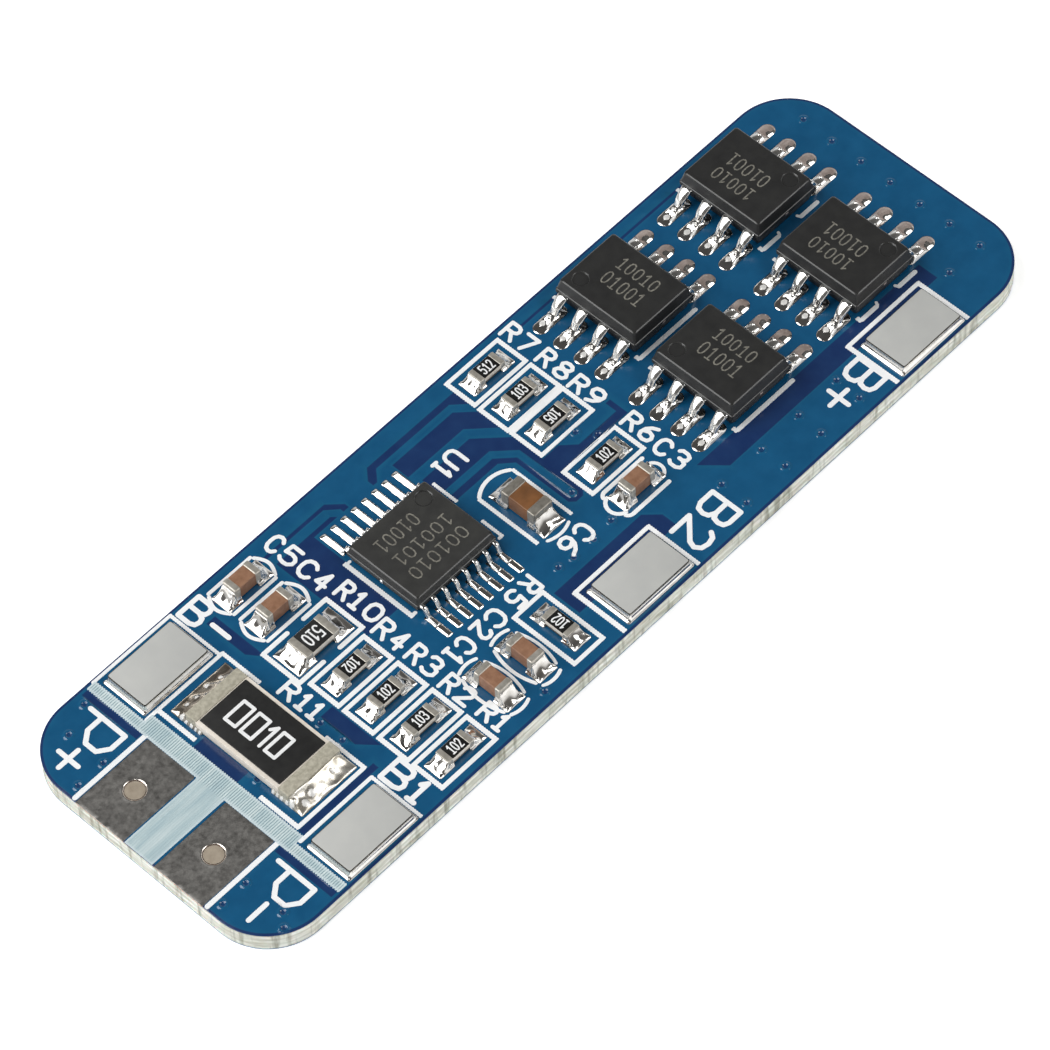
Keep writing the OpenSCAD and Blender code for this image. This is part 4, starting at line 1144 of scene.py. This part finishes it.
def so_path(far):
    """Centre line of a transistor's lead: it leaves the body, slopes down, then turns out into the foot."""
    zs, zf = cbox("mosfet_q1_leads")[1][2] - 0.1, Z_CHIP + 0.1
    if not far:
        return arc_path([(1.90, zs), (2.03, zs - 0.005), (2.48, zs - 0.36), (2.66, zf), (3.0, zf)], [0.14, 0.2, 0.12], 7)
    return arc_path([(1.90, zs - 0.05), (2.07, zs + 0.022), (2.50, zf), (2.98, zf)], [0.22, 0.16], 8)


def ts_path():
    zs, zf = cbox("protection_ic_leads")[1][2] - 0.065, Z_CHIP + 0.045
    return arc_path([(2.18, zs), (2.40, zs), (2.62, zf), (3.185, zf)], [0.16, 0.12], 6)


for i in range(4):
    mb = Mesh()
    for s in (0, 180):
        for k in range(4):
            v, f = ribbon(so_path(s == 0), 0.2, 0.43, 0.03, dam=(2.44, 1.26))
            mb.add(v, f, 0, lambda p, s=s, k=k: place(Q[i][0], Q[i][1], s)((p[0], p[1] + (k - 1.5) * SO_P, p[2])))
    mb.build("mosfet_q%d_gull_wings" % (i + 1), [M_LEAD], ["mosfet_q%d_leads" % (i + 1)], 50)
mb = Mesh()
for s in (90, 270):
    for k in range(8):
        v, f = ribbon(ts_path(), 0.13, IC_LW, 0.02, 0.09, -0.06) if s == 90 else ribbon(ts_path(), 0.13, 0.22, 0.03)
        mb.add(v, f, 0, lambda p, s=s, k=k: place(U[0], U[1], s)((p[0], p[1] + (k - 3.5) * TS_P, p[2])))
mb.build("protection_ic_gull_wings", [M_LEAD], ["protection_ic_leads"], 50)

# ------------------------------------------------------------------ solder


def domed(e, r, h):
    """Height of a bead of solder a distance e in from its edge; r is where it levels off."""
    t = 1 - min(max(e, 0.0), r) / r
    return h * math.sqrt(max(0.0, 1 - t * t))


def lead_joint(cx, hx, hy, r, foot, top, nx, ny, seed, rim, gain, slope, lumps=()):
    """Solder on a pad: a rim rising at about 30 degrees, a nearly level bead, a fillet falling away from the
    gull-wing foot, and oval lumps. foot is (x0, x1, half width, middle y); lumps are (x, y, height, radius along, across)."""
    k = 0.012

    def soft(a_, b_, k_):
        m = max(a_, b_)
        return m + k_ * math.log(math.exp((a_ - m) / k_) + math.exp((b_ - m) / k_))

    def zf(x, y):
        d = math.hypot(max(foot[0] - x, x - foot[1], 0.0), max(abs(y - foot[3]) - foot[2], 0.0))
        qx, qy = abs(x - cx) - (hx - r), abs(y) - (hy - r)
        e = max(0.0, r - math.hypot(max(qx, 0), max(qy, 0)) if (qx > 0 or qy > 0) else r - max(qx, qy))
        base = -soft(-0.6 * e, -(0.6 * rim + gain * (e - rim)), 0.006)
        base = Z_CU + 0.006 + max(0.0, base) * (1.0 + 0.10 * wob(x, y, 3.0, seed))
        add = sum(lh * math.exp(-((x - lx) / lr) ** 2 - ((y - ly) / lq) ** 2) for lx, ly, lh, lr, lq in lumps)
        lump = top - slope * d * (1.0 + 0.30 * wob(x, y, 3.6, seed + 5.0))
        return min(soft(base, lump, k) + add, Z_CU + 0.006 + 1.7 * e)
    return blob(cx, 0.0, hx, hy, r, nx, ny, zf, Z_CU - 0.004)


mb = Mesh()
seed = 1.0
for (qx, qy), turn in zip(Q, Q_TURN):
    for s in (0, 180):
        for k in range(4):
            seed += 1.0
            far = s == 0
            j = math.sin(seed * 5.1)
            lumps = [(2.5, -0.27, 0.06, 0.14, 0.10), (2.98, 0.03 + 0.04 * j, 0.08, 0.09, 0.09),
                     (3.36, -0.02 + 0.05 * j, 0.03, 0.2, 0.2)] if far else \
                    [(2.93, -0.03 + 0.05 * j, 0.10, 0.12, 0.13), (3.24 + 0.04 * j, 0.27, 0.055, 0.26, 0.08),
                     (3.37 + 0.05 * j, -0.04 + 0.05 * j, 0.075, 0.19 + 0.02 * j, 0.18), (2.45, 0.27, 0.06, 0.10, 0.10)]
            v, f = lead_joint((SO_IN + SO_OUT) / 2, (SO_OUT - SO_IN) / 2, SO_PW / 2, SO_PW / 2 - 0.002,
                              (2.34, 2.98 if far else 3.04, 0.2, 0.0), Z_CHIP + 0.17, 56, 26, seed, 0.12 if far else 0.075,
                              0.24 if far else 0.03, 0.62, lumps)
            # On the far pads the flank facing -Y, towards the right-hand softbox, and the part by the lead keep the
            # shiny solder, and the rest of the outer dome gets the duller solder,
            # picked by which way each face points: a painted highlight on the flank, painted shade on the dome. On the
            # near pads the beads get the near-white solder, a painted highlight.
            mi = []
            for q in f:
                p0, p1, p2 = (Vector(v[i]) for i in q[:3])
                nn = (p1 - p0).cross(p2 - p0)
                nn.normalize()
                xm, ym = sum(v[i][0] for i in q) / len(q), sum(v[i][1] for i in q) / len(q)
                bead = not far and any(((xm - b[0]) / b[3]) ** 2 + ((ym - b[1]) / b[4]) ** 2 < 0.62 for b in lumps[:3])
                mi.append(1 if far and nn[1] > -0.28 and xm > 2.95 else 2 if bead else 0)
            mb.add(v, f, mi, lambda p, s=s, k=k: place(qx, qy, s)((p[0], p[1] + (k - 1.5) * SO_P, p[2])))
mb.build("solder_mosfet_fillets", [M_SOLDER, M_FLUX, M_PAINTED_HIGHLIGHT_BEADS], ["solder_mosfet_joints"], 60)
mb = Mesh()
for s in (90, 270):
    for k in range(8):
        seed += 1.0
        if s == 90:
            v, f = lead_joint((TS_IN + TS_OUT) / 2, (TS_OUT - TS_IN) / 2, TS_PW / 2, 0.09, (2.5, 3.72, 0.015, -0.06),
                              Z_CHIP + 0.115, 44, 18, seed, 0.05, 0.1, 0.54)
        else:
            v, f = lead_joint((TS_IN + TS_OUT) / 2, (TS_OUT - TS_IN) / 2, TS_PW / 2, 0.09, (2.62, 3.17, 0.10, 0.0),
                              Z_CHIP + 0.06, 44, 18, seed, 0.085, 0.0, 0.9)
        mb.add(v, f, 0, lambda p, s=s, k=k: place(U[0], U[1], s)((p[0], p[1] + (k - 3.5) * TS_P, p[2])))
mb.build("solder_ic_fillets", [M_SOLDER], ["solder_ic_joints"], 60)


def chip_joint(l, w, h, pad, seed, rise=0.85, side=0.35, nx=34, ny=34, p=2.4, bead=0.075, out=0, rough=1.0, more=()):
    """Solder of a chip's end: a bead round the pad's rim, drawn up the end cap in a hollow fillet."""
    pi, po, pw = pad
    ex, ey = l / 2, w / 2
    ln = po - ex
    j = math.sin(seed * 3.7)
    if out == 180:
        lumps = [(ex + 0.50 * ln, (-0.20 + 0.04 * j) * pw, 0.085, 0.20 * min(pw, 1.5)),
                 (ex + 0.42 * ln, (0.30 + 0.03 * j) * pw, 0.060, 0.13 * min(pw, 1.5))]
    elif out == 270:
        lumps = [(ex + 0.52 * ln, 0.03 * j * pw, 0.11, 0.26 * min(pw, 1.5)), (ex + 0.2 * ln, -0.42 * pw, 0.05, 0.09)]
    else:
        lumps = [(ex + 0.45 * ln, 0.22 * j * pw, 0.05, 0.17 * min(pw, 1.5)), (ex + 0.3 * ln, -0.34 * pw, 0.05, 0.11)]

    def zf(x, y):
        dx, dy = x - ex, abs(y) - ey
        e = min(po - x, pw / 2 - abs(y), x - pi + 0.02)
        t = domed(e, 0.17, bead)
        base = Z_CU + 0.008 + t
        if dx <= 0 and dy <= 0:
            if max(dx, dy) > -0.07:
                hh = rise if dx > dy else side
                return Z_CHIP + hh * h - 0.01
            return Z_CHIP + 0.006
        ax, ay = max(dx, 0.0), max(dy, 0.0)
        d = math.hypot(ax / (po - ex), ay / max(pw / 2 - ey, 0.05))
        wgt = (rise * ax + side * ay) / (ax + ay + 1e-6) if dx > 0 else side
        yy = max(0.0, 1 - (abs(y) / (pw / 2)) ** 5)
        z = base + max(0.0, Z_CHIP - Z_CU + wgt * h - bead) * max(0.0, 1 - d) ** p * (0.35 + 0.65 * yy)
        for lx, ly, lh, lr in lumps + list(more):
            z += (t / bead) * lh * math.exp(-((x - lx) ** 2 + (y - ly) ** 2) / (lr * lr))
        z += rough * 0.045 * (t / bead) * math.sin(math.pi * min(1.0, d)) * wob(x, y, 2.0, seed + 3.0)
        return z + 0.010 * (t / bead) * wob(x, y, 3.2, seed)
    cx, hx, hy = (pi + po) / 2, (po - pi) / 2, pw / 2
    return blob(cx, 0.0, hx, hy, 0.1, nx, ny, zf, Z_CU - 0.004)


mb = Mesh()
for i, ((cx, cy), turn, pad) in enumerate(zip(R, R_TURN, R_PAD)):
    l, w, h = (2.0, 1.25, 0.5) if i == 9 else (1.6, 0.8, 0.45)
    for s in (0, 180):
        seed += 1.0
        v, f = chip_joint(l, w, h, pad, seed, out=(turn + s) % 360)
        mb.add(v, f, 0, place(cx, cy, turn + s))
for i, ((cx, cy), turn, pad) in enumerate(zip(C, C_TURN, C_PAD)):
    l, w, h = (2.08, 1.2, 0.96) if i == 5 else (1.6, 0.85, 0.82)
    for s in (0, 180):
        seed += 1.0
        v, f = chip_joint(l, w, h, pad, seed, 0.75 if i < 5 else 0.62, 0.3, out=(turn + s) % 360)
        mb.add(v, f, 0, place(cx, cy, turn + s))
for s in (0, 180):
    seed += 1.0
    q = 1 if s == 0 else -1
    more = [(3.34, q * 1.60, 0.10, 0.15), (3.05, q * 1.67, 0.06, 0.10), (2.76, q * 1.67, 0.06, 0.11),
            (2.48, q * 1.67, 0.05, 0.10), (2.24, q * 1.67, 0.05, 0.09)]
    if s == 0:
        more += [(3.62, 1.05, 0.09, 0.13), (3.5, 0.55, 0.07, 0.12), (3.66, -0.2, 0.06, 0.16), (3.5, -0.9, 0.06, 0.13)]
    else:
        more += [(3.72, -1.15, 0.10, 0.22), (3.60, -0.65, 0.07, 0.20), (3.46, 0.75, 0.05, 0.12)]
    v, f = chip_joint(6.3, 3.2, 0.6, RS_PAD, seed, 0.8, 0.4, 48, 72, 1.9, out=(90 + s) % 360, rough=2.2 if s == 0 else 1.4,
                      more=more)
    # Faces on the beads take the near-white solder: a painted highlight.
    mi = []
    for c in f:
        xm, ym = sum(v[k][0] for k in c) / len(c), sum(v[k][1] for k in c) / len(c)
        bead = any((xm - b[0]) ** 2 + (ym - b[1]) ** 2 < 0.6 * b[3] * b[3] for b in more)
        mi.append(3 if bead else 1 if s == 0 else 2)
    mb.add(v, f, mi, place(RS[0], RS[1], 90 + s))
# Solder round the tabs.
for k, (tx, ty) in enumerate(T):
    rings = []
    lo, hi = cbox("nickel_tab_" + ("b_minus", "b1", "b2", "b_plus")[k])
    tx2, ty2 = (hi[0] - lo[0]) / 2, (hi[1] - lo[1]) / 2
    for t, z in ((0.0, Z_CU - 0.004), (0.0, Z_CU + 0.014), (0.12, Z_CU + 0.05), (0.35, Z_CU + 0.075), (0.6, Z_CU + 0.12),
                 (0.8, Z_CU + 0.19), (0.94, Z_CU + 0.28), (1.0, Z_CU + 0.34), (1.12, Z_CU + 0.34)):
        hx, hy = TAB_PAD[0] + (tx2 - TAB_PAD[0]) * t, TAB_PAD[1] + (ty2 - TAB_PAD[1]) * t
        ring = []
        for x, y in rrect(0, 0, hx, hy, 0.12, 5):
            a = math.atan2(y, x)
            ring.append((tx + x, ty + y, z + (0.03 * wob(math.cos(a) * 3, math.sin(a) * 3, 2.5, seed + k) if 0.1 < t < 1.1 else 0)))
        rings.append(ring)
    # More points along the straight sides, so the fillet can ripple.
    dense = []
    for r_ in rings:
        q = []
        for a, b in zip(r_, r_[1:] + r_[:1]):
            n = max(1, int(math.dist(a[:2], b[:2]) / 0.22))
            for m in range(n):
                q.append(tuple(a[c] + (b[c] - a[c]) * m / n for c in range(3)))
        dense.append(q)
    n0 = min(len(q) for q in dense)
    if all(len(q) == n0 for q in dense):
        rings = [[(x, y, z + (0.02 * wob(x, y, 3.0, seed + k) if 1 < i < 8 else 0)) for x, y, z in q]
                 for i, q in enumerate(dense)]
    v, f = loft(rings)
    mb.add(v, f, 0)
mb.build("solder_chip_and_tab_fillets", [M_SOLDER, M_DULL, M_CREAMY, M_PAINTED_HIGHLIGHT_BEADS], ["solder_chip_and_tab_joints"], 60)

# ------------------------------------------------------------------ nickel tabs
for k, n in enumerate(("b_minus", "b1", "b2", "b_plus")):
    lo, hi = cbox("nickel_tab_" + n)
    mb = Mesh()
    v, f = rbox(lo[0], hi[0], lo[1], hi[1], lo[2], hi[2], 0.04, 4, 0.12)
    # Top face satin nickel, rounded top edge the dark band, sides the bright sheared nickel.
    mi = []
    for q in f:
        zs_ = [v[i][2] for i in q]
        mi.append(0 if min(zs_) > hi[2] - 0.001 else (2 if min(zs_) > hi[2] - 0.041 else 1))
    mb.add(v, f, mi)
    mb.build("cell_tab_" + n, [M_NICKEL, M_NICKEL_EDGE, M_DARK_EDGE_BAND], ["nickel_tab_" + n], 60)

# ------------------------------------------------------------------ chip resistors and capacitors


def marks(text, cx, cy, h, w, pitch, up, stroke, z, mb, mi):
    """Plain value digits on a part's top; up is the digit's up direction in the board plane: 0 +Y, -90 +X, 90 -X, 180 -Y."""
    n = len(text)
    loops = []
    for k, ch in enumerate(text):
        u = (k - (n - 1) / 2) * pitch
        for line in GLYPHS[ch]:
            q = [(u + (a - 0.5) * w, (b - 0.5) * h) for a, b in line]
            loops += [capsule(*q[i], *q[i + 1], stroke, 4) for i in range(len(q) - 1)]
    v, f, nt_, _ = sheet(loops, (), z + 0.004, z - 0.01)
    mb.add(v, f, mi, place(cx, cy, up))


VALUES = ["102", "103", "102", "102", "102", "102", "512", "103", "105", "510"]
FLIP = [0, 0, 0, 180, 90, 0, 0, 0, 180, 180]
for i, ((cx, cy), turn) in enumerate(zip(R, R_TURN)):
    l, w, h, c = (2.0, 1.25, 0.5, 0.38) if i == 9 else (1.6, 0.8, 0.45, 0.3)
    P = place(cx, cy, turn)
    body, caps = "resistor_r%d_body" % (i + 1), "resistor_r%d_end_caps" % (i + 1)
    z0, z1 = Z_CHIP, Z_CHIP + h
    mb = Mesh()
    v, f = rbox(-l / 2 + 0.05, l / 2 - 0.05, -w / 2, w / 2, z0 + 0.17, z1 - 0.035, 0.012, 2)
    mb.add(v, f, 0, P)
    # Lower part of the body in the dark material: painted shade along the bottom of the sides.
    v, f = rbox(-l / 2 + 0.06, l / 2 - 0.06, -w / 2 + 0.012, w / 2 - 0.012, z0 + 0.03, z0 + 0.18, 0.012, 2)
    mb.add(v, f, 3, P)
    v, f = rbox(-l / 2 + c - 0.05, l / 2 - c + 0.05, -w / 2 + 0.015, w / 2 - 0.015, z1 - 0.06, z1 - 0.012, 0.014, 3, 0.05)
    mb.add(v, f, 1, P)
    hgt, wid, pit, st = (0.68, 0.23, 0.33, 0.085) if i == 9 else (0.50, 0.165, 0.25, 0.068)
    marks(VALUES[i], cx, cy, hgt, wid, pit, FLIP[i], st, z1 - 0.012, mb, 2)
    mb.build("chip_resistor_r%d" % (i + 1), [M_ALUMINA, M_GLAZE if i == 9 else M_GLAZE_S, M_VALUE, M_SIDE_PAINTED_SHADE], [body], 40)
    mb = Mesh()
    for s in (1, -1):
        x0, x1 = sorted((s * (l / 2 - c), s * l / 2))
        v, f = rbox(x0, x1, -w / 2 - 0.004, w / 2 + 0.004, z0, z1, 0.035, 3)
        v = [(x, y, z + 0.006 * wob(x * 3 + cx, y * 3 + cy, 2.0, 4.0)) for x, y, z in v]
        mb.add(v, f, 0, P)
    mb.build("chip_resistor_r%d_caps" % (i + 1), [M_CAP], [caps], 50)
for i, ((cx, cy), turn) in enumerate(zip(C, C_TURN)):
    l, w, h, c = (2.08, 1.2, 0.96, 0.5) if i == 5 else (1.6, 0.85, 0.82, 0.35)
    P = place(cx, cy, turn)
    z0, z1 = Z_CHIP, Z_CHIP + h
    mb = Mesh()
    v, f = rbox(-l / 2 + 0.06, l / 2 - 0.06, -w / 2 + 0.03, w / 2 - 0.03, z0 + 0.03, z1 - 0.03, 0.05, 4)
    mb.add(v, f, 0, P)
    mb.build("chip_capacitor_c%d" % (i + 1), [M_MLCC if i < 5 else M_MLCC6], ["capacitor_c%d_body" % (i + 1)],
             50)
    mb = Mesh()
    for s in (1, -1):
        x0, x1 = sorted((s * (l / 2 - c), s * l / 2))
        v, f = rbox(x0, x1, -w / 2, w / 2, z0, z1, 0.07, 4)
        v = [(x, y, z + 0.008 * wob(x * 2 + cx, y * 2 + cy, 2.0, 6.0)) for x, y, z in v]
        mb.add(v, f, 0, P)
    mb.build("chip_capacitor_c%d_caps" % (i + 1), [M_CAP if i < 5 else M_CAP6], ["capacitor_c%d_end_caps" % (i + 1)], 50)

# ------------------------------------------------------------------ shunt resistor
lo, hi = cbox("shunt_r11_ceramic")
clo, chi = cbox("shunt_r11_end_caps")
mb = Mesh()
v, f = rbox(lo[0], hi[0], RS[1] - 2.52, RS[1] + 2.52, lo[2], hi[2], 0.02, 2)
mb.add(v, f, 0)
v, f = rbox(lo[0] + 0.06, hi[0] - 0.06, lo[1] + 0.04, hi[1] - 0.04, lo[2] + 0.05, hi[2] - 0.06, 0.02, 2)
mb.add(v, f, 0)
mb.build("shunt_ceramic", [M_ALUMINA], ["shunt_r11_ceramic"], 40)
lo, hi = cbox("shunt_r11_coating")
mb = Mesh()
v, f = rbox(lo[0], hi[0], lo[1] + 0.06, hi[1] - 0.06, lo[2] - 0.01, hi[2], 0.02, 3, 0.05)
mb.add(v, f, 0)
sq = []
for ya, yb in ((1.15, 1.82), (0.20, 0.88), (-1.23, -0.60)):
    a, b, c, d = -17.93, -16.72, ya + 0.02, yb - 0.02
    for p, q in (((a, c), (b, c)), ((b, c), (b, d)), ((b, d), (a, d)), ((a, d), (a, c))):
        sq.append(capsule(*p, *q, 0.165, 5))
sq += [capsule(-17.93, -0.29, -16.72, -0.29, 0.165, 5), capsule(-16.72, -0.29, -17.02, -0.06, 0.165, 5)]
v, f, nt_, _ = sheet(sq, (), hi[2] + 0.006, hi[2] - 0.01)
mb.add(v, f, 1)
mb.build("shunt_coating", [M_GLAZE, M_VALUE], ["shunt_r11_coating"], 40)
mb = Mesh()
for s in (1, -1):
    y0, y1 = sorted((RS[1] + s * (3.15 - 0.66), RS[1] + s * 3.15))
    v, f = rbox(clo[0], chi[0], y0, y1, clo[2], chi[2], 0.04, 4, 0.05)
    v = [(x, y + (0.02 * wob(x, y, 3.0, 9.0) if abs(y - (y0 if s > 0 else y1)) < 0.1 else 0), z + 0.006 * wob(x, y, 4.0, 3.0))
         for x, y, z in v]
    mb.add(v, f, 0)
mb.build("shunt_end_caps", [M_CREAM], ["shunt_r11_end_caps"], 50)

# ------------------------------------------------------------------ carried-over CAD nodes
for n, m in (("laminate", M_LAM), ("copper_top", M_COPPER), ("copper_bottom", M_COPPER), ("hole_plating", M_COPPER),
             ("solder_mask_bottom", M_MASK)):
    o = NODES[n]
    o.data.materials.clear()
    o.data.materials.append(m)
ca = NODES["solder_mask_bottom"].data.color_attributes.new("tone", "FLOAT_COLOR", "POINT")
ca.data.foreach_set("color", np.tile(np.array([1.0, 0.0, 0.0, 1.0], np.float32), len(NODES["solder_mask_bottom"].data.vertices)))

# ------------------------------------------------------------------ stage
me = bpy.data.meshes.new("floor")
sz = 0.9
zb = -0.00003                              # a hair under the board, so that the two never share a plane
me.from_pydata([(-sz, -sz, zb), (sz, -sz, zb), (sz, sz, zb), (-sz, sz, zb)], [], [(0, 1, 2, 3)])
floor = bpy.data.objects.new("floor", me)
bpy.context.scene.collection.objects.link(floor)
mf, nt, bs, tc = nt_new("pale_floor")
n = noise_node(nt, tc, 12, 2.0)
r = ramp(nt, n.outputs["Fac"], [(0.0, (0.90, 0.90, 0.90)), (1.0, (0.92, 0.92, 0.92))])
nt.links.new(r.outputs[0], bs.inputs["Base Color"])
bs.inputs["Roughness"].default_value = 0.8
bs.inputs["Emission Color"].default_value = (1.0, 1.0, 1.0, 1.0)
bs.inputs["Emission Strength"].default_value = 0.5
me.materials.append(mf)
floor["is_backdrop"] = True

# Pale low walls, dark ceiling: what a small white table tent gives.
world = bpy.data.worlds.new("studio")
bpy.context.scene.world = world
world.use_nodes = True
wt = world.node_tree
wbg = wt.nodes["Background"]
wtc = wt.nodes.new("ShaderNodeTexCoord")
wsep = wt.nodes.new("ShaderNodeSeparateXYZ")
wt.links.new(wtc.outputs["Generated"], wsep.inputs[0])
wr = ramp(wt, wsep.outputs[2], [(0.0, (0.95, 0.95, 0.95)), (0.22, (0.75, 0.75, 0.75)), (0.42, (0.13, 0.125, 0.12)),
                                (1.0, (0.07, 0.07, 0.07))])
wdot = wt.nodes.new("ShaderNodeVectorMath")
wdot.operation = "DOT_PRODUCT"
wdot.inputs[1].default_value = (0.16, -0.30, 0.0)
wt.links.new(wtc.outputs["Generated"], wdot.inputs[0])
wadd = wt.nodes.new("ShaderNodeMath")
wadd.operation = "ADD"
wadd.inputs[1].default_value = 1.0
wt.links.new(wdot.outputs["Value"], wadd.inputs[0])
wt.links.new(wadd.outputs[0], wbg.inputs[1])
wt.links.new(wr.outputs[0], wbg.inputs[0])


def softbox(name, direction, dist, w, h, level):
    """A softbox of the given radiance."""
    ld = bpy.data.lights.new(name, "AREA")
    ld.shape = "RECTANGLE"
    ld.size, ld.size_y = w, h
    ld.energy = level * math.pi * w * h
    o = bpy.data.objects.new(name, ld)
    d = Vector(direction).normalized()
    o.location = d * dist
    o.rotation_mode = "QUATERNION"
    o.rotation_quaternion = d.to_track_quat("Z", "Y")
    bpy.context.scene.collection.objects.link(o)
    return o


softbox("soft_left", (-0.56, 0.42, 0.70), 0.50, 0.36, 0.48, 4.3)
softbox("soft_right", (0.40, -0.56, 0.73), 0.50, 0.26, 0.22, 4.0)
softbox("soft_front", (-0.46, -0.30, 0.84), 0.60, 0.09, 0.09, 5.0)

# ------------------------------------------------------------------ camera
az, el, dist, roll, fpx, tx, ty = -43.948, 55.294, 247.82, -3.358, 5593.873, -1.298, -0.267
a, e = math.radians(az), math.radians(el)
back = Vector((math.sin(a) * math.cos(e), -math.cos(a) * math.cos(e), math.sin(e)))
xa = Vector((0, 0, 1)).cross(back).normalized()
ya = back.cross(xa)
rr = math.radians(roll)
x2 = xa * math.cos(rr) + ya * math.sin(rr)
y2 = -xa * math.sin(rr) + ya * math.cos(rr)
cam = bpy.data.objects.new("camera", bpy.data.cameras.new("camera"))
cam.data.sensor_width = 36.0
cam.data.lens = fpx / 1050.0 * 36.0
cam.data.clip_start, cam.data.clip_end = 0.005, 10.0
cam.matrix_world = Matrix.Translation((Vector((tx, ty, 0.5)) + back * dist) * MM) @ \
    Matrix((x2, y2, back)).transposed().to_4x4()
bpy.context.scene.collection.objects.link(cam)
bpy.context.scene.camera = cam
bpy.context.scene.view_settings.view_transform = "Standard"
bpy.context.scene.view_settings.look = "None"

lo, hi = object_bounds()
